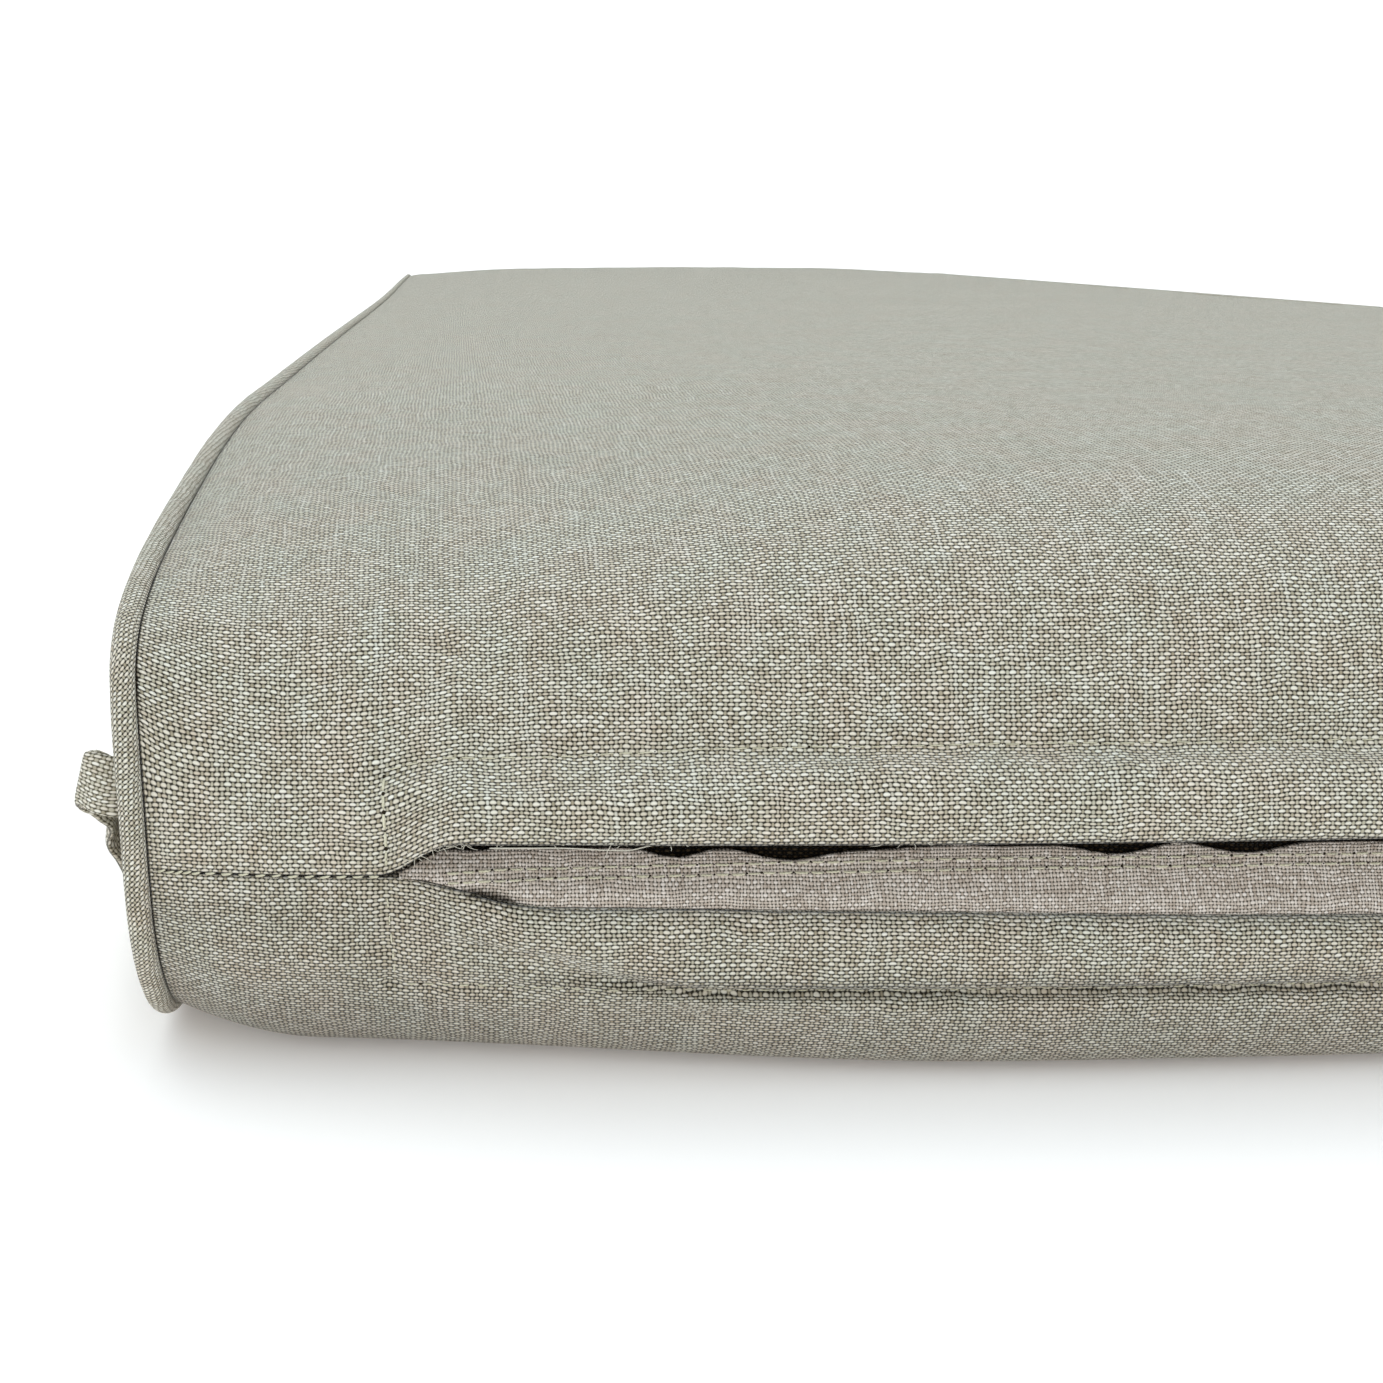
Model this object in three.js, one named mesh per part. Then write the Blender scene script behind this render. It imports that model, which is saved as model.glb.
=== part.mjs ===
// Sun lounger cushion: a filled cushion in a sewn cover, lying on its underside.
// Millimetres, +Z up. The closure end faces -Y, the head end +Y, and the origin is the
// centre of the footprint at floor level.
import * as THREE from 'three';

// Driving dimensions
const LENGTH = 1900;            // nose to nose along the middle
const WIDTH = 600;              // over the piping, at the corners
const CROWN_HEIGHT = 104;       // top of the crown in the middle of the cushion
const END_BOW = 18;             // how far each end stands out in the middle of its width
const SIDE_DRAW_IN = 4;         // how far each long side draws in at half length
const PIPING_DIAMETER = 4.4;
const GAP = 0.35;               // clearance between pieces that are sewn together
const PANEL_THICKNESS = 1.4;    // side panel cloth with its seam turnings
const PANEL_BULGE = 4.2;        // how far the filling pushes a side panel out
const TAPE_THICKNESS = 0.9;
const TIE_WIDTH = 10.5;
const TIE_THICKNESS = 1.6;

const PIPING_SIDES = 10;
const piping = PIPING_DIAMETER / 2;
const half = WIDTH / 2;
const seamInset = PIPING_DIAMETER + 2 * GAP;   // side plane to the body's edge beside the piping

// Distance from the middle of the length to each end's corner nose. The lap's lip stands
// proud of it at the closure end, and the seam a little at the head end.
const LIP_PROUD = 5.2;
const SEAM_PROUD = 0.1;
const cornerAt = { closure: LENGTH / 2 - END_BOW - LIP_PROUD, head: LENGTH / 2 - END_BOW - SEAM_PROUD };

const clothMaterial = new THREE.MeshStandardMaterial({ color: 0xa9a893, roughness: 0.92, metalness: 0 });
const panelMaterial = new THREE.MeshStandardMaterial({ color: 0xa3a18d, roughness: 0.92, metalness: 0 });
const pipingMaterial = new THREE.MeshStandardMaterial({ color: 0x9a9a86, roughness: 0.9, metalness: 0 });
const tapeMaterial = new THREE.MeshStandardMaterial({ color: 0xa5968c, roughness: 0.88, metalness: 0 });
const tieMaterial = new THREE.MeshStandardMaterial({ color: 0x9c9e8b, roughness: 0.9, metalness: 0 });

const mix = (a, b, t) => a + (b - a) * t;

function smooth(from, to, value) {
  const t = Math.min(1, Math.max(0, (value - from) / (to - from)));
  return t * t * (3 - 2 * t);
}

// How far in from the side each kind of row changes from its closed to its open shape, in
// runs that each do a share of it: the whole end, the lap above the slit, the slit's lip, its
// lower band and the sewn fold.
const OPENING = {
  form: [{ share: 1, from: 24, to: 150 }],
  lap: [{ share: 1, from: 38, to: 62 }],
  lip: [{ share: 1, from: 41.5, to: 54.5 }],
  band: [{ share: 0.64, from: 44, to: 71 }, { share: 0.36, from: 71, to: 220 }],
  fold: [{ share: 1, from: 52, to: 100 }],
};
const QUICK_RUN = { from: 28, to: 56 };     // where the quick share of a row opens
const STRAIGHT_HEAD_FROM = 0.7; // rows at least as quick as this stay closed at the head end
const NEAR_REACH = 26;          // from the body's edge to where its near shape is reached

// Section of the closure end, from the top round the nose to the floor. y runs inwards from
// the corner piping's nose and z up. edge is the line of the piping, near is 30 mm in from it,
// where the end seam is closed, and open is where the closure slit stands open. quick is the
// share of a row's change that is done beside the slit's start.
const CLOSURE_ROWS = [
  { name: 'top', kind: 'form', edge: [171, 96.0], near: [170, 99.6], open: [172, 103.2] },
  { name: 'top', kind: 'form', edge: [120, 93.6], near: [120, 97.6], open: [122, 102.4] },
  { name: 'crown', kind: 'form', edge: [80, 89.8], near: [80, 94.6], open: [85, 101.4] },
  { name: 'crown', kind: 'form', edge: [50, 86.4], near: [50, 90.6], open: [56, 100.0] },
  { name: 'crown', kind: 'form', edge: [30, 83.4], near: [32, 85.8], open: [37, 97.9] },
  { name: 'shoulder', kind: 'form', edge: [17, 80.4], near: [21, 80.8], open: [26, 94.6] },
  { name: 'shoulder', kind: 'form', quick: 0.03, edge: [8.5, 76.9], near: [14, 75.8], open: [17.6, 89.6] },
  { name: 'shoulder', kind: 'form', quick: 0.08, edge: [3.8, 72.5], near: [9.6, 70.0], open: [11.8, 84] },
  { name: 'front', kind: 'form', quick: 0.18, edge: [2.1, 66.5], near: [6.6, 64.2], open: [8.2, 77.4] },
  { name: 'front', kind: 'form', quick: 0.35, edge: [1.6, 60.0], near: [4.0, 58.4], open: [5.5, 69.6] },
  { name: 'front', kind: 'form', quick: 0.62, edge: [1.5, 55.0], near: [2.4, 53.2], open: [3.7, 63.4] },
  { name: 'stitch line', kind: 'form', quick: 0.82, edge: [1.5, 50.5], near: [1.3, 49.4], open: [2.4, 59] },
  { name: 'lap', kind: 'form', quick: 0.72, edge: [1.5, 46.6], near: [0.4, 45.6], open: [-2.0, 56.2] },
  { name: 'lap', kind: 'lap', edge: [1.5, 43.4], near: [-0.2, 42.4], open: [-4.6, 51.8] },
  { name: 'lip', kind: 'lip', edge: [1.5, 40.8], near: [-0.4, 39.8], open: [-5.2, 46.4] },
  { name: 'lip', kind: 'lip', edge: [1.5, 39.8], near: [-0.2, 38.9], open: [-4.4, 45.2] },
  { name: 'lip back', kind: 'lip', edge: [1.5, 39.2], near: [0.7, 38.5], open: [0.5, 45.6] },
  { name: 'pocket', kind: 'lip', edge: [1.5, 38.7], near: [1.2, 38.3], open: [9.0, 45.8] },
  { name: 'pocket', kind: 'lip', edge: [1.5, 38.3], near: [1.4, 38.1], open: [9.2, 42.6] },
  { name: 'tape bed', kind: 'lip', edge: [1.5, 37.9], near: [1.2, 37.9], open: [4.4, 42.2] },
  { name: 'tape bed', kind: 'band', edge: [1.5, 37.4], near: [0.9, 37.7], open: [1.1, 28.9] },
  { name: 'band edge', kind: 'band', edge: [1.5, 36.9], near: [0.5, 37.5], open: [-0.7, 28.8] },
  { name: 'band edge', kind: 'band', edge: [1.5, 36.2], near: [-0.2, 37.1], open: [-0.8, 30.7] },
  { name: 'band', kind: 'band', edge: [1.5, 35.0], near: [-0.5, 36.0], open: [-2.0, 30.3] },
  { name: 'band', kind: 'band', edge: [1.7, 32.4], near: [-0.7, 33.4], open: [-3.8, 27.4] },
  { name: 'band', kind: 'band', edge: [2.1, 29.4], near: [-0.7, 30.2], open: [-3.6, 23.2] },
  { name: 'fold', kind: 'fold', edge: [2.8, 26.5], near: [-0.4, 26.8], open: [-2.6, 19.6] },
  { name: 'fold', kind: 'fold', edge: [3.6, 24.0], near: [0.0, 23.8], open: [-0.2, 17.9] },
  { name: 'fold', kind: 'fold', edge: [4.9, 21.0], near: [0.9, 20.6], open: [-1.5, 16.6] },
  { name: 'under', kind: 'form', edge: [8.0, 16.0], near: [3.2, 15.2], open: [-0.4, 11.2] },
  { name: 'under', kind: 'form', edge: [13.0, 10.4], near: [6.8, 9.4], open: [2.2, 5.6] },
  { name: 'under', kind: 'form', edge: [20.0, 6.0], near: [11.4, 4.2], open: [5.6, 2.0] },
  { name: 'contact', kind: 'form', edge: [29.0, 3.5], near: [18.0, 0.8], open: [11.0, 0.3] },
  { name: 'floor', kind: 'form', edge: [42.0, 2.9], near: [31.0, 0.0], open: [24.0, 0.0] },
];

// Rows that the piping and the side panels do without: there they lie on one straight line.
const STRAIGHT_AT_EDGE = ['lap', 'lip', 'lip back', 'pocket', 'tape bed', 'band edge'];
// Rows left out at the head end, whose seam is closed all along.
const SEAM_CLOSED_WITHOUT = ['lap', 'lip back', 'pocket', 'band edge'];

// Rows across the top and the underside, as shares of the length between the two ends.
const TOP_SHARES = [0.06, 0.16, 0.3, 0.5, 0.7, 0.84, 0.94];
const BOTTOM_SHARES = [0.1, 0.35, 0.65, 0.9];
const TOP_FROM = 170;           // from a corner nose to where the rows across the top begin
const TOP_EDGE_HEIGHT = 97;     // piping line at half length
const TOP_NEAR_HEIGHT = 100.4;

const bow = (inward) => END_BOW * (1 - Math.pow(1 - inward / half, 2.2));
const sideAt = (y) => half - SIDE_DRAW_IN * Math.pow(Math.cos(Math.PI * y / LENGTH), 4);

// One row of the loop: its place on the piping line, near it, and in the middle.
// end is -1 at the closure end, +1 at the head end and 0 between them.
const HEAD_SEAM_SHIFT = { y: 0.6, z: 1 };   // how the head end's closed seam lies in the middle

function endRow(row, end) {
  const { name, kind, quick = 0, edge, near } = row;
  const closed = [near[0] + HEAD_SEAM_SHIFT.y, near[1] + HEAD_SEAM_SHIFT.z];
  const straight = kind !== 'form' || quick >= STRAIGHT_HEAD_FROM;
  const open = end > 0 && straight ? closed : row.open;
  return { name, kind, quick, end, edge, near, open };
}

const closure = CLOSURE_ROWS.map((row) => endRow(row, -1));
const headRows = CLOSURE_ROWS.filter((row) => !SEAM_CLOSED_WITHOUT.includes(row.name));
const head = headRows.map((row) => endRow(row, 1));

function middleRow(share, heights, name) {
  const rise = Math.sin(Math.PI * share);
  const y = mix(TOP_FROM - cornerAt.closure, cornerAt.head - TOP_FROM, share);
  const place = (z0, z1) => [y, mix(z0, z1, rise)];
  return {
    name,
    kind: 'form',
    quick: 0,
    end: 0,
    edge: place(...heights.edge),
    near: place(...heights.near),
    open: place(...heights.open),
  };
}

const topHeights = {
  edge: [96, TOP_EDGE_HEIGHT],
  near: [99.6, TOP_NEAR_HEIGHT],
  open: [103.2, CROWN_HEIGHT],
};
const bottomHeights = { edge: [2.9, 2.9], near: [0, 0], open: [0, 0] };
const topRows = TOP_SHARES.map((share) => middleRow(share, topHeights, 'top'));
const bottomRows = BOTTOM_SHARES.map((share) => middleRow(share, bottomHeights, 'floor'));

// The whole loop: down the closure end, back along the underside, up the head end and
// forward again along the top.
const LOOP = [
  ...closure,
  ...bottomRows,
  ...head.slice().reverse(),
  ...topRows.slice().reverse(),
];

// y of a row in the part's frame, from its distance behind the corner nose.
function rowY(row, y, shift) {
  if (row.end === 0) return y;
  return row.end < 0 ? y - shift - cornerAt.closure : cornerAt.head - y + shift;
}

function rowPoint(row, inward) {
  const near = 1 - Math.pow(1 - THREE.MathUtils.clamp((inward - seamInset) / NEAR_REACH, 0, 1), 2);
  const part = (run) => run.share * smooth(run.from, run.to, inward);
  const slow = OPENING[row.kind].reduce((sum, run) => sum + part(run), 0);
  const open = mix(slow, smooth(QUICK_RUN.from, QUICK_RUN.to, inward), row.quick);
  const y = mix(mix(row.edge[0], row.near[0], near), row.open[0], open);
  const z = mix(mix(row.edge[1], row.near[1], near), row.open[1], open);
  return { y: rowY(row, y, bow(inward)), z };
}

const edgePoint = (row) => ({ y: rowY(row, row.edge[0], 0), z: row.edge[1] });

// Outward normals of a closed line of points in the YZ plane that runs the way LOOP does.
function outwardNormals(points) {
  return points.map((point, i) => {
    const before = points[(i + points.length - 1) % points.length];
    const after = points[(i + 1) % points.length];
    const a = new THREE.Vector2(point.y - before.y, point.z - before.z).normalize();
    const b = new THREE.Vector2(after.y - point.y, after.z - point.z).normalize();
    const along = a.clone().add(b).normalize();
    const mitre = 1 / along.dot(a);
    return { y: along.y * mitre, z: -along.x * mitre };
  });
}

function offsetLoop(points, distance) {
  const normals = outwardNormals(points);
  return points.map((point, i) => ({
    y: point.y + normals[i].y * distance,
    z: point.z + normals[i].z * distance,
  }));
}

// Moves an outline towards the middle line of the side, for the domed faces.
const SPINE_FROM = 60;          // from a corner nose to the end of the side's middle line
const SPINE_HEIGHT = 49;
const spine = { from: SPINE_FROM - cornerAt.closure, to: cornerAt.head - SPINE_FROM };

function shrinkLoop(points, share) {
  return points.map((point) => ({
    y: mix(point.y, THREE.MathUtils.clamp(point.y, spine.from, spine.to), share),
    z: mix(point.z, SPINE_HEIGHT, share),
  }));
}

// Rings of a domed face: how far it has shrunk to the middle line, and the share of its bulge.
const DOME_RINGS = [
  { shrink: 0.0, bulge: 0.0 },
  { shrink: 0.22, bulge: 0.52 },
  { shrink: 0.5, bulge: 0.86 },
  { shrink: 0.82, bulge: 1.0 },
];

// A ring is one closed line of points, each with the number of the row that it lies on.
const numbered = (ids, points) => ({ ids, points });

function sideRing(side, ids, loop, inset) {
  return numbered(ids, loop.map((p) => [side * (sideAt(p.y) - inset), p.y, p.z]));
}

// Rings from the rim of a side's domed face to its innermost ring.
function domeRings(side, ids, rim, inset) {
  return DOME_RINGS.map(({ shrink, bulge }) => (
    sideRing(side, ids, shrinkLoop(rim, shrink), inset - bulge * PANEL_BULGE)
  ));
}

// Triangles between two rings, which may hold different rows but both start at row 0.
function joinRings(a, b, rowCount) {
  const faces = [];
  const nextId = (ring, i) => {
    if (i >= ring.ids.length) return Infinity;
    return i + 1 < ring.ids.length ? ring.ids[i + 1] : rowCount;
  };
  const at = (ring, i) => ring.start + (i % ring.ids.length);
  let i = 0;
  let j = 0;
  while (i < a.ids.length || j < b.ids.length) {
    if (nextId(a, i) <= nextId(b, j)) {
      faces.push(at(a, i), at(b, j), at(a, i + 1));
      i += 1;
    } else {
      faces.push(at(a, i), at(b, j), at(b, j + 1));
      j += 1;
    }
  }
  return faces;
}

// Triangles that close a ring from its lower run to its upper run, working away from the
// closure end. keep says whether they turn the way the ring does.
const SAME_PLACE = 0.001;

function closeRing(ring, keep) {
  const count = ring.points.length;
  const y = (i) => ring.points[(i + count) % count][1];
  let nose = 0;
  for (let i = 1; i < count; i += 1) {
    if (y(i) <= y(nose) + SAME_PLACE) nose = i;
  }
  const faces = [];
  let lower = nose + 1;
  let upper = nose;
  while (lower + 1 < upper + count) {
    const turns = [upper, lower];
    if (y(lower + 1) <= y(upper - 1)) {
      lower += 1;
      turns.push(lower);
    } else {
      upper -= 1;
      turns.unshift(upper);
    }
    const [p, q, r] = turns.map((i) => ring.start + (i + count) % count);
    faces.push(...(keep ? [p, q, r] : [p, r, q]));
  }
  return faces;
}

// A closed solid from rings, with its first and last ring closed.
function stackRings(rings) {
  const rowCount = LOOP.length;
  const index = [];
  let start = 0;
  for (const ring of rings) {
    ring.start = start;
    start += ring.points.length;
  }
  for (let r = 0; r + 1 < rings.length; r += 1) {
    index.push(...joinRings(rings[r], rings[r + 1], rowCount));
  }
  index.push(...closeRing(rings[0], true), ...closeRing(rings[rings.length - 1], false));
  return solidFrom(rings.flatMap((ring) => ring.points), index);
}

// A closed solid from sections of equal count, each with flat corners in order.
function stackSections(sections) {
  const count = sections[0].length;
  const index = [];
  for (let s = 0; s + 1 < sections.length; s += 1) {
    for (let k = 0; k < count; k += 1) {
      const a = s * count + k;
      const b = s * count + (k + 1) % count;
      index.push(a, a + count, b, b, a + count, b + count);
    }
  }
  const last = (sections.length - 1) * count;
  for (let k = 1; k + 1 < count; k += 1) {
    index.push(0, k, k + 1, last, last + k + 1, last + k);
  }
  return solidFrom(sections.flat(), index);
}

function solidFrom(points, index) {
  const geometry = new THREE.BufferGeometry();
  geometry.setAttribute('position', new THREE.Float32BufferAttribute(points.flat(), 3));
  geometry.setIndex(index);
  return facedOut(geometry);
}

// Turns all the triangles of a closed geometry where they face in.
function facedOut(geometry) {
  const p = geometry.getAttribute('position');
  const index = geometry.getIndex();
  const corner = [new THREE.Vector3(), new THREE.Vector3(), new THREE.Vector3()];
  let volume = 0;
  for (let i = 0; i < index.count; i += 3) {
    corner.forEach((v, k) => v.fromBufferAttribute(p, index.getX(i + k)));
    volume += corner[0].dot(corner[1].clone().cross(corner[2])) / 6;
  }
  if (volume < 0) {
    for (let i = 0; i < index.count; i += 3) {
      const second = index.getX(i + 1);
      index.setX(i + 1, index.getX(i + 2));
      index.setX(i + 2, second);
    }
  }
  geometry.computeVertexNormals();
  return geometry;
}

const object = new THREE.Group();

function addMesh(name, geometry, material) {
  const mesh = new THREE.Mesh(geometry, material);
  mesh.name = name;
  object.add(mesh);
}

// The side's outline: the line of the piping's core
const sideRows = LOOP.map((row, i) => i).filter((i) => !STRAIGHT_AT_EDGE.includes(LOOP[i].name));
const sideOutline = sideRows.map((i) => edgePoint(LOOP[i]));
const panelInset = 1.4;         // side plane to the panel's outer face at its rim
const RIM_CLEARANCE = 0.15;     // added to the gap between the panel and the body behind it
const FACET_CLEARANCE = 0.05;   // added to the gap between the panel and the piping's facets

// Cushion body: the filled core and its main cover cloth
const BODY_STATIONS = [
  seamInset, 8, 12, 18, 26, 32, 38, 42, 45.5, 47.5, 50, 52.5, 55, 58, 62, 66, 72, 84, 100, 125, 160,
  205, 250, 288,
];

const bodyRimInset = panelInset + PANEL_THICKNESS + GAP + RIM_CLEARANCE;
const rimTuck = 1.3;            // how far the body's rim lies inside the piping

function buildBody() {
  const rim = offsetLoop(sideOutline, -(piping + rimTuck));
  const across = [
    ...BODY_STATIONS.map((inward) => -1 * inward),
    ...BODY_STATIONS.slice().reverse(),
  ];
  const allRows = LOOP.map((row, i) => i);
  const stations = across.map((signed) => {
    const inward = Math.abs(signed);
    const points = LOOP.map((row) => {
      const { y, z } = rowPoint(row, inward);
      return [Math.sign(signed) * (sideAt(y) - inward), y, z];
    });
    return numbered(allRows, points);
  });
  const left = domeRings(-1, sideRows, rim, bodyRimInset).reverse();
  const right = domeRings(1, sideRows, rim, bodyRimInset);
  return stackRings([...left, ...stations, ...right]);
}

// Side panels: thin cloth pushed out by the filling, inside the ring of the piping
function buildSidePanel(side) {
  const rim = offsetLoop(sideOutline, -(piping + GAP + FACET_CLEARANCE));
  const inner = domeRings(side, sideRows, rim, panelInset + PANEL_THICKNESS).reverse();
  const outer = domeRings(side, sideRows, rim, panelInset);
  return stackRings([...inner, ...outer]);
}

// Piping: a corded strip round the side's outline
function buildPiping(side) {
  const normals = outwardNormals(sideOutline);
  const count = sideOutline.length;
  const positions = [];
  const index = [];
  sideOutline.forEach((point, i) => {
    const centre = side * (sideAt(point.y) - piping);
    for (let k = 0; k < PIPING_SIDES; k += 1) {
      const turn = 2 * Math.PI * (k + 0.5) / PIPING_SIDES;
      positions.push([
        centre + piping * Math.sin(turn),
        point.y + piping * Math.cos(turn) * normals[i].y,
        point.z + piping * Math.cos(turn) * normals[i].z,
      ]);
      const a = i * PIPING_SIDES + k;
      const b = i * PIPING_SIDES + (k + 1) % PIPING_SIDES;
      const step = i + 1 < count ? PIPING_SIDES : PIPING_SIDES - count * PIPING_SIDES;
      index.push(a, b, a + step, b, b + step, a + step);
    }
  });
  return solidFrom(positions, index);
}

// Closure tape: a thin strip that stands in the slit in front of its bed, its top edge wavy
const TAPE_FROM = 45;           // distance in from the side to where it starts
const TAPE_STATIONS = BODY_STATIONS.filter((inward) => inward > TAPE_FROM);
const TAPE_WAVES = [            // amplitude and length of the top edge's waves
  { height: 0.28, length: 23, phase: 0.4 },
  { height: 0.24, length: 57, phase: 2.1 },
];
const TAPE_ON_BED = { from: 0.11, to: 0.94 };   // shares of the bed's height that it covers
const TAPE_CLEARANCE = 0.48;
const bedTop = LOOP.find((row) => row.name === 'tape bed');
const bedBottom = LOOP[LOOP.indexOf(bedTop) + 1];
const BED_HEIGHT = bedTop.open[1] - bedBottom.open[1];

function buildTape() {
  const sections = [];
  const across = [
    ...TAPE_STATIONS.map((inward) => -1 * inward),
    ...TAPE_STATIONS.slice().reverse(),
  ];
  for (const signed of across) {
    const inward = Math.abs(signed);
    const top = rowPoint(bedTop, inward);
    const bottom = rowPoint(bedBottom, inward);
    const x = Math.sign(signed) * (sideAt(top.y) - inward);
    const waveAt = (w) => w.height * Math.sin(x / w.length * 2 * Math.PI + w.phase);
    const wave = TAPE_WAVES.reduce((sum, w) => sum + waveAt(w), 0);
    const low = TAPE_ON_BED.from;
    const high = TAPE_ON_BED.to + wave / BED_HEIGHT;
    const at = (share, off) => [x, mix(bottom.y, top.y, share) - off, mix(bottom.z, top.z, share)];
    const back = TAPE_CLEARANCE;
    const front = back + TAPE_THICKNESS;
    sections.push([at(low, back), at(high, back), at(high, front), at(low, front)]);
  }
  return stackSections(sections);
}

// Ties: a flat strip that leaves the seam behind the piping, turns back on itself and lies
// along the side and the floor. out is measured from the panel's rim face, back from the
// corner piping's nose, and lean turns the strip's width from upright towards flat.
const TIE_PATH = [
  { out: 0.9, back: 5.4, up: 51.2, lean: 0 },
  { out: 2.7, back: 5.4, up: 51.25, lean: -1 },
  { out: 4.4, back: 5.6, up: 51.6, lean: -8 },
  { out: 6.2, back: 6.1, up: 52.1, lean: -14 },
  { out: 7.8, back: 7.4, up: 52.3, lean: -17 },
  { out: 8.2, back: 9.5, up: 51.6, lean: -12 },
  { out: 7.6, back: 11.4, up: 50.6, lean: -5 },
  { out: 6.4, back: 13.1, up: 48.8, lean: 0 },
  { out: 5.8, back: 14.9, up: 46.0, lean: 2 },
  { out: 5.8, back: 17.0, up: 42.2, lean: 3 },
  { out: 5.3, back: 19.6, up: 38.0, lean: 3 },
  { out: 5.1, back: 22.8, up: 33.6, lean: 4 },
  { out: 5.3, back: 27.4, up: 28.8, lean: 6 },
  { out: 5.9, back: 34.4, up: 23.4, lean: 12 },
  { out: 7.2, back: 44.0, up: 17.6, lean: 24 },
  { out: 8.6, back: 58.0, up: 11.2, lean: 40 },
  { out: 10.6, back: 73.0, up: 6.0, lean: 60 },
  { out: 12.4, back: 90.0, up: 2.4, lean: 84 },
  { out: 13.6, back: 109.0, up: 1.1, lean: 90 },
  { out: 14.2, back: 131.0, up: 1.1, lean: 90 },
  { out: 13.6, back: 156.0, up: 1.1, lean: 90 },
];
const TIE_STEPS = 76;

function buildTie(side) {
  const face = half - panelInset;
  const place = (p) => new THREE.Vector3(side * (face + p.out), p.back - cornerAt.closure, p.up);
  const route = new THREE.CatmullRomCurve3(TIE_PATH.map(place), false, 'centripetal');
  const sections = [];
  for (let i = 0; i <= TIE_STEPS; i += 1) {
    const t = i / TIE_STEPS;
    const spot = t * (TIE_PATH.length - 1);
    const low = Math.min(TIE_PATH.length - 2, Math.floor(spot));
    const lean = THREE.MathUtils.degToRad(mix(TIE_PATH[low].lean, TIE_PATH[low + 1].lean, spot - low));
    const centre = route.getPoint(t);
    const along = route.getTangent(t);
    const upright = new THREE.Vector3(side * Math.sin(lean), 0, Math.cos(lean));
    const width = upright.addScaledVector(along, -upright.dot(along)).normalize();
    const normal = new THREE.Vector3().crossVectors(along, width).normalize();
    const corner = (w, n) => centre.clone()
      .addScaledVector(width, w * TIE_WIDTH / 2)
      .addScaledVector(normal, side * n * TIE_THICKNESS / 2)
      .toArray();
    sections.push([corner(-1, -1), corner(1, -1), corner(1, 1), corner(-1, 1)]);
  }
  return stackSections(sections);
}

addMesh('cushion_body', buildBody(), clothMaterial);
addMesh('side_panel_left', buildSidePanel(-1), panelMaterial);
addMesh('side_panel_right', buildSidePanel(1), panelMaterial);
addMesh('piping_left', buildPiping(-1), pipingMaterial);
addMesh('piping_right', buildPiping(1), pipingMaterial);
addMesh('closure_tape', buildTape(), tapeMaterial);
addMesh('tie_left', buildTie(-1), tieMaterial);
addMesh('tie_right', buildTie(1), tieMaterial);

export default object;
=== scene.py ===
"""Sun lounger cushion: the sewn cover, its piping, closure tape, stitches and ties, around the
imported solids.

Sizes are in millimetres until a mesh is made. The closure end faces -Y, the head end +Y, and
the cushion lies on z = 0. A distance called inward is measured from the nearer long side.
"""
import math
import random

import bmesh
import bpy
import numpy as np
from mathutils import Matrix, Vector


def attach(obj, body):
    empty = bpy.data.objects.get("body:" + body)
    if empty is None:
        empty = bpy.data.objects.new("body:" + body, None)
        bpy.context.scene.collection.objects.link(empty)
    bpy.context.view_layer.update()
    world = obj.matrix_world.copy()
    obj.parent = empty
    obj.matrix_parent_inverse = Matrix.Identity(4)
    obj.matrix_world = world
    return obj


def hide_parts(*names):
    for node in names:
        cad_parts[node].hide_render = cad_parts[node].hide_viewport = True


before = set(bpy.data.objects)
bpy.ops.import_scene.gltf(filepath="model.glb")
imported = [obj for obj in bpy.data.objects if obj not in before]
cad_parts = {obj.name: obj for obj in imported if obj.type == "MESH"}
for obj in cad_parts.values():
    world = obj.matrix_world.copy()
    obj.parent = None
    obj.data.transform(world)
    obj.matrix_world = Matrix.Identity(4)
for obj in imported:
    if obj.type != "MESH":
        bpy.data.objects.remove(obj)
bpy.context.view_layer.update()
scene = bpy.context.scene

# Driving dimensions, in millimetres
MM = 0.001
LENGTH = 1900
HALF_WIDTH = 300
CROWN_HEIGHT = 104
END_BOW = 18                # how far each end stands out in the middle of its width
END_BOW_POWER = 2.2         # how flat it stays there
SIDE_DRAW_IN = 4            # how far each long side draws in at half length
SIDE_DRAW_POWER = 4         # how straight it is towards the ends
PIPING_RADIUS = 2.05
GAP = 0.35                  # clearance between pieces that are sewn together
SEAM_INSET = 2 * PIPING_RADIUS + 0.15
LIP_PROUD = 5.2             # how far the lap's lip stands out past the corner
CLOSURE_NOSE = -(LENGTH / 2 - END_BOW - LIP_PROUD)
HEAD_NOSE = LENGTH / 2 - END_BOW - 0.1
PANEL_INSET = 1.4
PANEL_THICKNESS = 1.4
PANEL_BULGE = 4.2
TAPE_THICKNESS = 0.9
TIE_WIDTH = 10.5
TIE_THICKNESS = 1.6
STITCH = 3.1                # length of one stitch
WARP_PITCH = 0.84           # spacing of the cover's warp yarns, which run along the cushion
WEFT_PITCH = 0.66           # spacing of its weft yarns, which run across
SIDES = {-1: "left", 1: "right"}

# How each kind of row changes from its closed to its open shape, as (share, from, to) runs of
# the distance in from the side
OPENING = {
    "form": ((1.0, 24, 150),),
    "lap": ((1.0, 38, 62),),
    "lip": ((1.0, 41.5, 54.5),),
    "band": ((0.64, 44, 71), (0.36, 71, 220)),
    "fold": ((1.0, 52, 100),),
}
QUICK_RUN = (28, 56)        # where the quick share of a row opens, beside the slit's start
NEAR_REACH = 26             # from the body's edge to where its near shape is reached

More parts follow.
